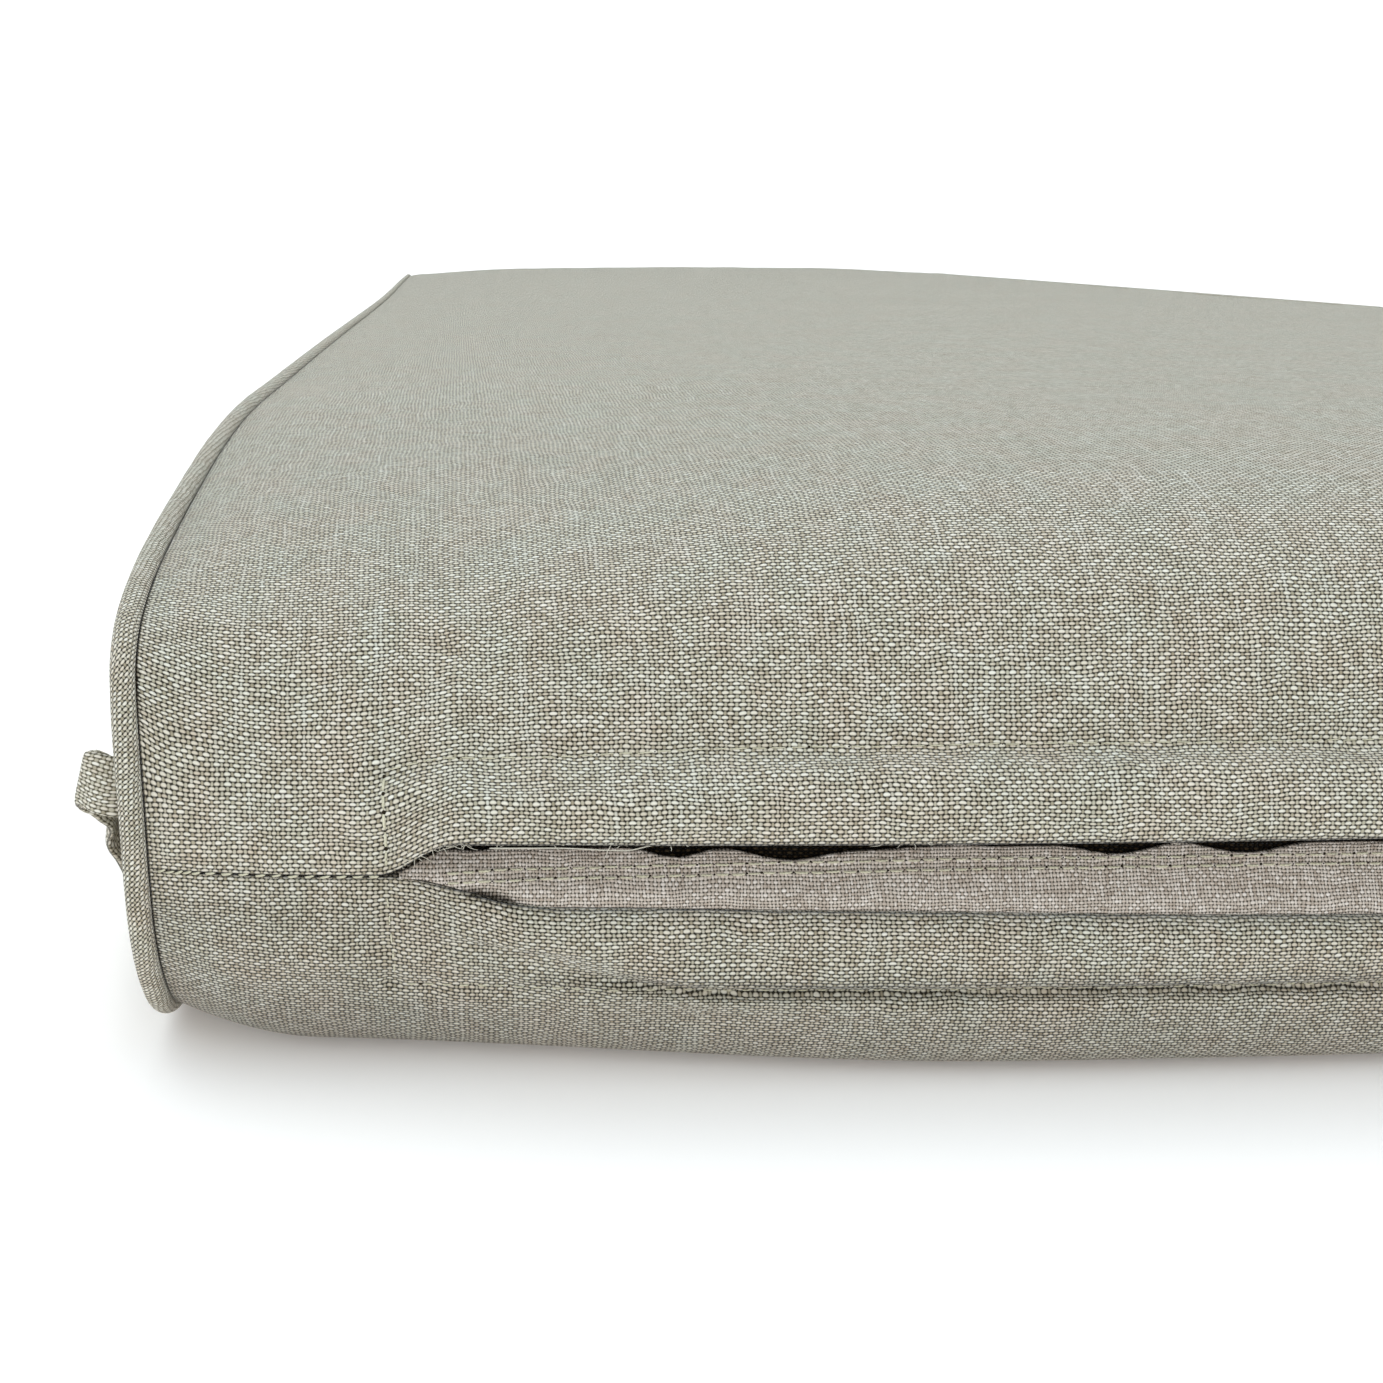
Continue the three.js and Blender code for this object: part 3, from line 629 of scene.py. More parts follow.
class Shape:
    """Points, faces and each face corner's place on its cloth, gathered into one mesh."""

    def __init__(self):
        self.points, self.faces, self.cloth = [], [], []
        self.count = 0

    def add(self, points):
        """Adds points, and returns their numbers in an array of the same layout."""
        points = np.asarray(points, float)
        numbers = np.arange(points.size // 3).reshape(points.shape[:-1]) + self.count
        self.points.append(points.reshape(-1, 3))
        self.count += points.size // 3
        return numbers

    def quads(self, numbers, cloth, wrap=False):
        """Faces between the rows of a grid. With wrap the last column joins the first, and
        cloth has one column more than the grid."""
        self.faces += list(squares(closed(numbers) if wrap else numbers))
        self.cloth += list(squares(cloth))

    def triangles(self, picks, numbers, cloth):
        """Faces between three of a line of points each, picked by their places in it."""
        for pick in picks:
            self.faces.append(numbers[pick])
            self.cloth.append(cloth[pick])

    def shell(self, outer, inner, cloth):
        """A thin closed sheet from the grids of its two faces."""
        rows, columns = outer.shape[:2]
        front, back = self.add(outer), self.add(inner)
        self.quads(front, cloth)
        self.quads(back[:, ::-1], cloth[:, ::-1])
        rim = [(0, c) for c in range(columns)] + [(r, columns - 1) for r in range(1, rows)]
        rim += [(rows - 1, c) for c in range(columns - 2, -1, -1)]
        rim += [(r, 0) for r in range(rows - 2, -1, -1)]
        r, c = np.array(rim).T
        self.quads(np.stack([front[r, c], back[r, c]]), np.stack([cloth[r, c]] * 2))

    def strand(self, rings, cloth):
        """A closed solid through rings of points, from one end to the other."""
        numbers = self.add(rings)
        self.quads(numbers, cloth, wrap=True)
        fan = [[0, k, k + 1] for k in range(1, numbers.shape[1] - 1)]
        for end in (0, -1):
            self.triangles(fan, numbers[end], cloth[end])

    def tube(self, centres, radii, sides):
        """A round strand along a line of points."""
        along = unit(np.gradient(centres, axis=0))
        up = np.array([0.0, 0.0, 1.0]) if abs(along[0, 2]) < 0.8 else np.array([0.0, 1.0, 0.0])
        side = unit(np.cross(along, up))
        rise = np.cross(side, along)
        turn = turns(sides)
        ring = side[:, None] * np.cos(turn[:-1])[:, None] + rise[:, None] * np.sin(turn[:-1])[:, None]
        self.strand(centres[:, None] + ring * radii[:, None, None],
                    joined(travelled(centres)[:, None], turn, 0))

    def piece(self, name, material, slot=None, replaces=()):
        """The mesh piece, in metres, riding on the cushion's one body."""
        mesh = bpy.data.meshes.new(name)
        points = np.concatenate(self.points) * MM
        mesh.from_pydata(points.tolist(), [], [face.tolist() for face in self.faces])
        places = mesh.attributes.new("cloth", "FLOAT_VECTOR", "CORNER")
        places.data.foreach_set("vector", np.concatenate(self.cloth).astype(np.float32).ravel())
        work = bmesh.new()
        work.from_mesh(mesh)
        bmesh.ops.recalc_face_normals(work, faces=work.faces)
        work.to_mesh(mesh)
        work.free()
        mesh.shade_smooth()
        mesh.materials.append(material)
        piece = add_object(name, mesh)
        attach(piece, "root")
        if replaces:
            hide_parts(*replaces)
        return piece


class Value:
    """A number that nodes work out, used like any other."""

    def __init__(self, nodes, socket):
        self.nodes, self.socket = nodes, socket

    def __add__(self, other):
        return self.nodes.math("ADD", self, other)

    def __sub__(self, other):
        return self.nodes.math("SUBTRACT", self, other)

    def __mul__(self, other):
        return self.nodes.math("MULTIPLY", self, other)

    def __truediv__(self, other):
        return self.nodes.math("DIVIDE", self, other)


class Nodes:
    """The node tree of one material, built with short calls. Inputs are numbers or Values."""

    def __init__(self, name):
        self.material = bpy.data.materials.new(name)
        self.material.use_nodes = True
        self.tree = self.material.node_tree

    def add(self, kind, output, inputs=(), **settings):
        """The Value of one output of a new node. Inputs are (number or name, value) pairs."""
        node = self.tree.nodes.new(kind)
        for key, value in settings.items():
            setattr(node, key, value)
        for key, value in inputs:
            self.put(node.inputs[key], value)
        return Value(self, node.outputs[output])

    def put(self, socket, value):
        if isinstance(value, Value):
            self.tree.links.new(value.socket, socket)
        else:
            socket.default_value = value

    def surface(self, levels):
        """Sets the named inputs of the surface's shader, and returns the material."""
        for name, value in levels.items():
            self.put(self.tree.nodes["Principled BSDF"].inputs[name], value)
        return self.material

    def cloth_place(self):
        """u, v and painted shade of the place on the cloth."""
        place = self.add("ShaderNodeAttribute", "Vector", attribute_name="cloth")
        split = self.add("ShaderNodeSeparateXYZ", 0, [(0, place)]).socket.node
        return [Value(self, socket) for socket in split.outputs]

    def math(self, operation, *values):
        return self.add("ShaderNodeMath", 0, enumerate(values), operation=operation)

    def round(self, value):
        return self.math("ROUND", value)

    def vector(self, *values):
        return self.add("ShaderNodeCombineXYZ", 0, enumerate(values))

    def random(self, *place):
        """A random number for each whole (x, y, z)."""
        return self.add("ShaderNodeTexWhiteNoise", "Value", [("Vector", self.vector(*place))],
                        noise_dimensions="3D")

    def noise(self, x, y, z, detail=2.0):
        """Smooth noise of 0 to 1 with features of about 1. A z of its own makes it another."""
        inputs = [("Vector", self.vector(x, y, z)), ("Scale", 1.0), ("Detail", detail)]
        return self.add("ShaderNodeTexNoise", "Fac", inputs, noise_dimensions="3D")

    def ramp(self, share, stops):
        """A colour from stops of (place, three 8-bit levels)."""
        colour = self.add("ShaderNodeValToRGB", "Color", [("Fac", share)])
        elements = colour.socket.node.color_ramp.elements
        for k, (place, levels) in enumerate(stops):
            element = elements[k] if k < 2 else elements.new(place)
            element.position = place
            element.color = (*srgb(levels), 1.0)
        return colour

    def blend(self, share, a, b, mode="MIX"):
        a, b = (value if isinstance(value, Value) else (*value, 1.0) for value in (a, b))
        return self.add("ShaderNodeMix", 2, data_type="RGBA", blend_type=mode,
                        inputs=[("Factor", share), (6, a), (7, b)])

    def span(self, value, low, high, to_low=0.0, to_high=1.0):
        """value from low to high, made to_low to to_high and held there outside."""
        return self.add("ShaderNodeMapRange", 0, enumerate((value, low, high, to_low, to_high)),
                        interpolation_type="SMOOTHSTEP")

    def bump(self, height, distance):
        inputs = [("Distance", distance), ("Strength", 1.0), ("Height", height)]
        return self.add("ShaderNodeBump", "Normal", inputs)


def srgb(levels):
    """A colour given as three 8-bit levels, as linear light."""
    shares = [level / 255 for level in levels]
    return [share / 12.92 if share <= 0.04045 else ((share + 0.055) / 1.055) ** 2.4 for share in shares]


# What every weave shares
WANDER = 1.5                # how far its yarns wander
WARP_BENDS = (6.0, 9.0)     # size of the places where they do, across and along the cushion
WEFT_BENDS = (9.0, 6.0)
WEFT_TONES = 9.0            # length over which a yarn's tone changes
WARP_TONES = 16.0
WEFT_STEP = 5.37            # how far the noise of one yarn's tone lies from the next one's
WARP_STEP = 4.71
TINT_SIZE = (8.0, 11.0)     # of the patches in which the cloth is warmer or cooler
WEFT_ROUNDNESS = 3.4        # how fast a yarn falls away to its sides
WARP_ROUNDNESS = 4.4
UNEVEN_LIFT = 0.2           # how much some floats stand out over others
LIFT_DROP = 0.08            # how much lower all of them lie for that
BLUR = 0.12                 # of the edges between yarns
CHANCE_SHARE = 0.42         # of a float's tone, the rest being the yarn's own
PALE_YARN = (232, 233, 231)
PALE_SHARE = 0.38
PALE_FROM = (0.56, 0.74)    # the palest of the warp yarns get a pale core, over this run of tones
PALE_CORE = (0.1, 0.34)     # from its middle, as a share of the yarns' spacing
WARM_TINT = (0.962, 0.914, 0.862)
COOL_TINT = (0.942, 0.947, 0.903)
SHADE_DEPTH = 0.4           # how much wider the painted shade between yarns gets where the cloth's place has painted shade
# How strongly the painted shade darkens red, green and blue, leaving it warm
SHADE_COLOUR = (0.93, 0.95, 0.97)
# Colour of the painted shade between the yarns, scaled by hollow
HOLLOW_COLOUR = (1.0, 0.93, 0.7)


def woven(name, pitch, weft, warp, depth, prominence=0.2, slub=1.0, hollow=0.055, furrow=0.25,
          rim=(-0.32, 0.37)):
    """A plain-woven cloth. pitch is the spacing of warp and weft yarns, weft and warp are the
    colour stops of their yarns, and depth is the weave's relief in millimetres. prominence is
    how much the weft stands above the warp, slub how uneven the yarns are, hollow how light
    the painted shade between its yarns is, and furrow how light the painted shadow just under
    each weft yarn is. rim is the run of heights over which that painted shade between the
    yarns gives way to their colour."""
    n = Nodes(name)
    u, v, shade = n.cloth_place()
    x = (n.noise(u / WARP_BENDS[0], v / WARP_BENDS[1], 3.1) * WANDER + u) / pitch[0]
    y = (n.noise(u / WEFT_BENDS[0], v / WEFT_BENDS[1], 7.7) * WANDER + v) / pitch[1]
    i, j = n.round(x), n.round(y)
    off_i, off_j = x - i, y - j
    # Each yarn goes over one and under the next
    weft_turn, warp_turn = x + j, y + i + 1.0
    weft_chance = n.random(n.round(weft_turn * 0.5), j, 0.5)
    warp_chance = n.random(i, n.round(warp_turn * 0.5), 9.5)
    weft_lift = weft_chance * (UNEVEN_LIFT * slub) + (prominence - LIFT_DROP)
    weft_wave, warp_wave = (n.math("COSINE", turn * math.pi) * 0.5 for turn in (weft_turn, warp_turn))
    weft_height = weft_wave + weft_lift - off_j * off_j * WEFT_ROUNDNESS
    warp_height = warp_wave - off_i * off_i * WARP_ROUNDNESS
    on_top = n.span(weft_height - warp_height, -BLUR, BLUR)
    height = n.math("MAXIMUM", weft_height, warp_height)

    # Yarns differ from each other, and each one along its length
    weft_yarn = n.noise(u / WEFT_TONES, j * WEFT_STEP, 1.3, detail=1.0)
    warp_yarn = n.noise(i * WARP_STEP, v / WARP_TONES, 8.9, detail=1.0)
    weft_tone, warp_tone = (chance * CHANCE_SHARE + yarn * (1 - CHANCE_SHARE) for chance, yarn in (
        (weft_chance, weft_yarn), (warp_chance, warp_yarn)))
    core = n.span(n.math("ABSOLUTE", off_i), *PALE_CORE, 1.0, 0.0)
    pale = n.span(warp_yarn, *PALE_FROM, 0.0, PALE_SHARE * slub) * core
    warp_colour = n.blend(pale, n.ramp(warp_tone, warp), srgb(PALE_YARN))
    colour = n.blend(on_top, warp_colour, n.ramp(weft_tone, weft))
    cool = n.span(n.noise(u / TINT_SIZE[0], v / TINT_SIZE[1], 4.4), 0.3, 0.7)
    colour = n.blend(slub, colour, n.blend(cool, WARM_TINT, COOL_TINT), "MULTIPLY")
    # Painted shade between the yarns where they lie low, deeper where the place has painted shade
    lit = n.span(shade * -SHADE_DEPTH + height, *rim)
    between = [part * hollow for part in HOLLOW_COLOUR]
    colour = n.blend(1.0, colour, n.blend(lit, between, (1.0, 1.0, 1.0)), "MULTIPLY")
    # Painted shadow just under each weft yarn, as if lit from above, then the place's painted shade
    under = n.span(off_j, -0.5, -0.1, furrow - 1, 0.0) * on_top + 1.0
    parts = [under * (shade * -part + 1.0) for part in SHADE_COLOUR]
    return n.surface({
        "Base Color": n.blend(1.0, colour, n.vector(*parts), "MULTIPLY"),
        "Normal": n.bump(height, depth * MM),
        "Roughness": 0.85,
        "Specular IOR Level": 0.1,
        "Sheen Weight": 0.28,
        "Sheen Roughness": 0.35,
    })


# Colours of yarns, from the darkest to the palest, as (place, three 8-bit levels)
COVER_WEFT = (
    (0.15, (206, 196, 180)),
    (0.35, (220, 213, 199)),
    (0.5, (229, 224, 212)),
    (0.68, (235, 232, 222)),
    (0.88, (246, 244, 238)),
)
COVER_WARP = (
    (0.15, (152, 143, 124)),
    (0.4, (172, 165, 147)),
    (0.6, (187, 182, 165)),
    (0.85, (205, 202, 189)),
)
TAPE_WEFT = ((0.2, (190, 175, 161)), (0.5, (217, 205, 193)), (0.8, (244, 235, 227)))
TAPE_WARP = ((0.2, (166, 152, 138)), (0.5, (200, 188, 176)), (0.8, (232, 223, 214)))
THREAD_COLOURS = ((0.25, (184, 178, 149)), (0.75, (224, 220, 197)))
# Needle holes are dark with the painted shade inside them
HOLE_COLOURS = ((0.3, (30, 26, 20)), (0.7, (58, 52, 42)))
FIBRE_COLOURS = ((0.3, (190, 184, 166)), (0.7, (222, 218, 204)))

COVER_PITCH = (WARP_PITCH, WEFT_PITCH)
PIPING_PITCH = (0.66, 0.58)
TAPE_PITCH = (0.58, 0.57)
cover_cloth = woven("cover_cloth", COVER_PITCH, COVER_WEFT, COVER_WARP, depth=0.26)
piping_cloth = woven("piping_cloth", PIPING_PITCH, COVER_WEFT, COVER_WARP, depth=0.2)
tie_cloth = woven("tie_cloth", COVER_PITCH, COVER_WEFT, COVER_WARP, depth=0.14, slub=0.5, hollow=0.2)
tape_cloth = woven("tape_cloth", TAPE_PITCH, TAPE_WEFT, TAPE_WARP, depth=0.18, prominence=0.12,
                   slub=0.15, hollow=0.1, furrow=0.6, rim=(-0.5, 0.2))


def thread_material():
    n = Nodes("sewing_thread")
    along, around = n.cloth_place()[:2]
    twist = n.math("SINE", along * 9.0 + around)
    tone = n.noise(along * 0.35, around, 2.0)
    return n.surface({"Base Color": n.ramp(tone, THREAD_COLOURS), "Normal": n.bump(twist, 0.05 * MM),
                      "Roughness": 0.55, "Sheen Weight": 0.1})


def hole_material():
    n = Nodes("needle_hole")
    spot = n.add("ShaderNodeTexNoise", "Fac", [("Scale", 4000)])
    return n.surface({"Base Color": n.ramp(spot, HOLE_COLOURS), "Roughness": 1.0,
                      "Specular IOR Level": 0.0})


def fibre_material():
    n = Nodes("loose_fibre")
    tone = n.noise(1.0, 2.0, 3.0)
    return n.surface({"Base Color": n.ramp(tone, FIBRE_COLOURS), "Roughness": 0.8})


# Rings of a domed side face: how far it has shrunk to the middle line, and its share of bulge
DOME_RINGS = ((0.0, 0.0), (0.22, 0.52), (0.5, 0.86), (0.82, 1.0))
SPINE = {"from": CLOSURE_NOSE + 60, "to": HEAD_NOSE - 60, "height": 49}
BODY_RIM_INSET = PANEL_INSET + PANEL_THICKNESS + GAP + 0.15
RIM_TUCK = 1.3              # how far the body's rim lies inside the piping


def shrink_loop(points, share):
    y = mix(points[:, 0], np.clip(points[:, 0], SPINE["from"], SPINE["to"]), share)
    return np.stack([y, mix(points[:, 1], SPINE["height"], share)], axis=1)


def loop_normals(points):
    """Outward normals of a closed (y, z) line that runs the way ROWS do."""
    along = unit(np.roll(points, -1, axis=0) - np.roll(points, 1, axis=0))
    return np.stack([along[:, 1], -along[:, 0]], axis=1)


def close_ring(points):
    """Triangles, as the points' places in it, that close a ring of (x, y, z) points between its
    lower and upper runs."""
    count = len(points)
    y = points[:, 1]
    nose = max(i for i in range(count) if y[i] <= y.min() + 0.001)
    lower, upper, faces = nose + 1, nose, []
    while lower + 1 < upper + count:
        turns = [upper, lower]
        if y[(lower + 1) % count] <= y[(upper - 1) % count]:
            lower += 1
            turns.append(lower)
        else:
            upper -= 1
            turns.insert(0, upper)
        faces.append([i % count for i in turns])
    return faces


def build_cover(cover):
    """The cushion body's cover: the fine grid, closed at each side behind the side panels."""
    shape = Shape()
    numbers = shape.add(cover.points)
    shape.quads(numbers, cover.cloth, wrap=True)
    edge = cover.points[0, :, 1:]
    rim = edge - loop_normals(edge) * (PIPING_RADIUS + RIM_TUCK)
    for side, before in ((-1, numbers[0]), (1, numbers[-1])):
        rings = [before]
        for shrink, bulge in DOME_RINGS:
            ring = shrink_loop(rim, shrink)
            x = side * (side_at(ring[:, 0]) - BODY_RIM_INSET + bulge * PANEL_BULGE)
            points = np.column_stack([x, ring])
            rings.append(shape.add(points))
        cloth = np.zeros((len(rings), len(edge) + 1, 3))
        # The domes behind the piping are painted in full shade, for the dark gap at the side seams
        cloth[..., 2] = 1.0
        shape.quads(np.stack(rings), cloth, wrap=True)
        shape.triangles(close_ring(points), rings[-1], np.zeros((len(edge), 3)))
    shape.piece("cushion_cover", cover_cloth, "cover_cloth", ["cushion_body"])


def even_ring(line, longest, shortest):
    """A closed (y, z) line with no step longer or much shorter than asked."""
    kept = [line[0]]
    for point in line[1:]:
        gap = math.dist(kept[-1], point)
        if gap < shortest:
            continue
        steps = math.ceil(gap / longest)
        kept += [mix(kept[-1], point, k / steps) for k in range(1, steps)] + [point]
    return np.array(kept)


PIPING_SIDES = 22
PIPING_LUMPS = (((9, 9), 21, 0.02),)    # its unevenness, as a share of its radius


def build_piping(side, line):
    """A corded strip of bias-cut cloth round one side panel."""
    ring = even_ring(line, longest=12.0, shortest=1.1)
    normals = loop_normals(ring)
    along = travelled(np.concatenate([ring, ring[:1]]))
    turn = turns(PIPING_SIDES)
    radius = PIPING_RADIUS * (1 + lumps(along[:-1], 0, PIPING_LUMPS, side))[:, None]
    across, out = np.cos(turn[:-1]) * radius, np.sin(turn[:-1]) * radius
    y, z = (ring[:, k:k + 1] + normals[:, k:k + 1] * out for k in (0, 1))
    points = joined(side * (side_at(ring[:, :1]) - PIPING_RADIUS - across), y, z)
    around = turn * PIPING_RADIUS
    on_bias = [math.sqrt(0.5) * (along[:, None] + way * around) for way in (1, -1)]
    shape = Shape()
    numbers = shape.add(points)
    shape.quads(np.concatenate([numbers, numbers[:1]]), joined(*on_bias, 0), wrap=True)
    name = SIDES[side]
    shape.piece(f"piping_cover_{name}", piping_cloth, "piping_cloth", [f"piping_{name}"])


PANEL_CLEARANCE = GAP + 0.05    # between it and the piping
PANEL_END = 60.0                # how far from its ends its dome rises and its mesh is closer
PANEL_POINTS = (28, 130, 26)    # of its mesh along each end, along its middle and across
PANEL_CROWDING = 1.5            # how much closer its points get towards each end
PANEL_CORNERS = 3               # how square its dome is at the corners
PANEL_DOME = 2.6                # how fast it rises
PANEL_WAVES = (((38, 60), 31, 0.45), ((15, 30), 33, 0.12))
PANEL_WAVES_FROM = (0, 0.35)    # where they come in, from the edge to the middle
PANEL_CUT = (100, 88)           # height of the cloth that was cut, greatest and on average


def build_side_panel(side, line):
    """A side panel: a thin sheet inside the ring of piping, pushed out by the filling."""
    rim = line - loop_normals(line) * (PIPING_RADIUS + PANEL_CLEARANCE)
    nose, tail = int(np.argmin(rim[:, 0])), int(np.argmax(rim[:, 0]))
    start, length = rim[nose, 0], rim[tail, 0] - rim[nose, 0]

    def edge(first, last):
        return np.roll(rim, -first, axis=0)[:(last - first) % len(rim) + 1]

    at_end, between, wide = PANEL_POINTS
    close = PANEL_END * np.linspace(0, 1, at_end)[:-1] ** PANEL_CROWDING
    even = np.linspace(PANEL_END, length - PANEL_END, between)
    y = start + np.concatenate([close, even, length - close[::-1]])[:, None]
    across = np.linspace(0, 1, wide)[None, :]
    z = mix(np.interp(y, *edge(nose, tail).T), np.interp(y, *edge(tail, nose)[::-1].T), across)
    from_edge = 1 - np.abs(2 * across - 1)
    from_end = np.clip(np.minimum(y - start, rim[tail, 0] - y) / PANEL_END, 0, 1)
    outside = (1 - from_edge) ** PANEL_CORNERS + (1 - from_end) ** PANEL_CORNERS
    inside = 1 - np.clip(outside, 0, 1) ** (1 / PANEL_CORNERS)
    dome = 1 - (1 - inside) ** PANEL_DOME
    waves = lumps(y, z, PANEL_WAVES, side) * smooth(*PANEL_WAVES_FROM, inside)
    stand = PANEL_BULGE * dome + waves
    outer = joined(side * (side_at(y) - PANEL_INSET + stand), y, z)
    shape = Shape()
    shape.shell(outer, outer - np.array([side * PANEL_THICKNESS, 0, 0]), joined(y, z, 0))
    node = f"side_panel_{SIDES[side]}"
    piece = shape.piece(node + "_cloth", cover_cloth, "cover_cloth", [node])
    length = length * MM
    most, average = PANEL_CUT
    average * MM * length


# Closure tape: where its top edge dips below the lip, as (distance in, reach, depth)
TAPE_DIPS = (
    (57.0, 6.0, 0.35), (90.5, 8.0, 1.5), (109.5, 12.5, 2.0), (122, 8, 0.5), (137, 5, -0.5),
    (163, 10, 1.5), (173.5, 4, -0.4), (185, 11, 1.6), (222, 14, 1.3), (255, 18, 1.8), (284, 10, 1.0),
)
TAPE_BELOW_BED = 0.25           # how far its top edge lies below the top of its bed elsewhere
TAPE_LEAST_HEIGHT = 0.35
TAPE_FROM = 45.0
TAPE_STEPS = 16
TAPE_CLEARANCE = 0.35
TAPE_LEAST_CLEARANCE = 0.05
TAPE_SLOPE = 0.3                # of its bed above the bed's top
TAPE_SWELL = (0.3, 9)           # how far it swells out, and up to which height
TAPE_LEAST_RISE = 0.3           # of the slit
TAPE_FREE_RISE = 8              # height of the slit from which the tape takes its full form
TAPE_FOOT = (0.3, 0.1)          # its lower edge over its bed's: at most, and as a share of the rise
TAPE_LEAN = 5                   # height over which it leans against the band
TAPE_DRAW = (0.7, 1.3, 0.22)    # how far under its upper stitches it is drawn in, reach and depth
TAPE_BAND_GAP = 0.15            # between it and the back of the band
TAPE_PINCH = (60.5, 5.0, 1.3)   # where its lower edge is drawn back behind the band
TAPE_PINCH_HEIGHT = 3.5
TAPE_STITCHES = ((51, 38.6), (71, 39.0), (104, 39.7), (143, 40.2), (HALF_WIDTH, 39.9))
TAPE_ROW_GAP = 1.55             # between its two rows of stitches
SELVEDGE_SHADE = -0.3           # its top edge is paler
TAPE_CREASE = np.array([1, 0.8, 0.4, 0.1])  # how the crease's painted shade fades above its lower edge


def dip(inward, at, reach, depth):
    return depth * np.cos(np.clip((inward - at) / reach, -1, 1) * np.pi / 2) ** 2


def tape_section(cover, inward, side):
    """Lower edge to upper edge of the tape's front face at one station."""
    low, high = (cover.at_row(inward, side, "tape bed", k) for k in (1, 0))
    band = cover.at_row(inward, side, "band edge", 1)
    rise = max(high[2] - low[2], TAPE_LEAST_RISE)
    top = high[2] - TAPE_BELOW_BED - sum(dip(inward, *d) for d in TAPE_DIPS)
    top = low[2] + max(top - low[2], TAPE_LEAST_HEIGHT)
    bottom = low[2] + min(TAPE_FOOT[0], TAPE_FOOT[1] * rise)
    z = mix(bottom, top, np.linspace(0, 1, TAPE_STEPS))
    bed = np.interp(z, [low[2], high[2]], [low[1], high[1]]) + np.maximum(z - high[2], 0) * TAPE_SLOPE
    free = min(1, rise / TAPE_FREE_RISE)
    under, reach, depth = TAPE_DRAW
    swell, height = TAPE_SWELL
    swell = swell * np.sin(np.pi * np.clip((z - bottom) / height, 0, 1)) * free
    drawn = depth * hill(z - table_value(inward, TAPE_STITCHES) + under, 0, reach)
    pinch = dip(inward, *TAPE_PINCH) * np.clip(1 - (z - bottom) / TAPE_PINCH_HEIGHT, 0, 1)
    y = bed - TAPE_CLEARANCE - TAPE_THICKNESS - swell + drawn * free
    leaning = smooth(band[2] + TAPE_LEAN, band[2], z) * free
    y = mix(y, band[1] + TAPE_BAND_GAP, leaning) + pinch
    y = np.minimum(y, bed - TAPE_THICKNESS - TAPE_LEAST_CLEARANCE)
    return joined(mix(low[0], high[0], 0.5), y, z)


def build_tape(cover):
    """The woven tape behind the slit, one closed strip with a wavy top edge. Returns its front."""
    outer = np.array([tape_section(cover, inward, side) for inward, side in zip(
        cover.inward, cover.side) if inward >= TAPE_FROM])
    cloth = joined(outer[..., 0], outer[..., 2], 0)
    cloth[:, -1, 2] = SELVEDGE_SHADE
    # Painted shade of the crease, on the tape's lowest rows
    crease = painted_crease_shade(HALF_WIDTH - np.abs(outer[:, :1, 0]))
    cloth[:, :len(TAPE_CREASE), 2] = crease * TAPE_CREASE
    shape = Shape()
    shape.shell(outer, outer + np.array([0, TAPE_THICKNESS, 0]), cloth)
    piece = shape.piece("closure_tape_cloth", tape_cloth, "closure_tape", ["closure_tape"])
    return outer


# Ties: out from the side panel's rim face, back from the corner nose, up, and lean in degrees
TIE_PATH = (
    (0.9, 5.4, 51.2, 0), (2.7, 5.4, 51.25, -1), (4.4, 5.6, 51.6, -8), (6.2, 6.1, 52.1, -14),
    (7.8, 7.4, 52.3, -17), (8.2, 9.5, 51.6, -12), (7.6, 11.4, 50.6, -5), (6.4, 13.1, 48.8, 0),
    (5.8, 14.9, 46.0, 2), (5.8, 17.0, 42.2, 3), (5.3, 19.6, 38.0, 3), (5.1, 22.8, 33.6, 4),
    (5.3, 27.4, 28.8, 6), (5.9, 34.4, 23.4, 12), (7.2, 44.0, 17.6, 24), (8.6, 58.0, 11.2, 40),
    (10.6, 73.0, 6.0, 60), (12.4, 90.0, 2.4, 84), (13.6, 109.0, 1.1, 90),
    (14.2, 131.0, 1.1, 90), (13.6, 156.0, 1.1, 90),
)
# Where the fold that shows narrows the tie: the number of the path's point, reach and share
TIE_FOLD = (4.2, 1.1, 0.15)
TIE_SIDES = 20
TIE_STEPS = 8                   # of its mesh from one point of the path to the next
TIE_POWERS = (0.45, 0.7)        # how square its section is, across and through
TIE_BACK = 40                   # how far away on the cloth its back lies


def squared(values, power):
    return np.sign(values) * np.abs(values) ** power


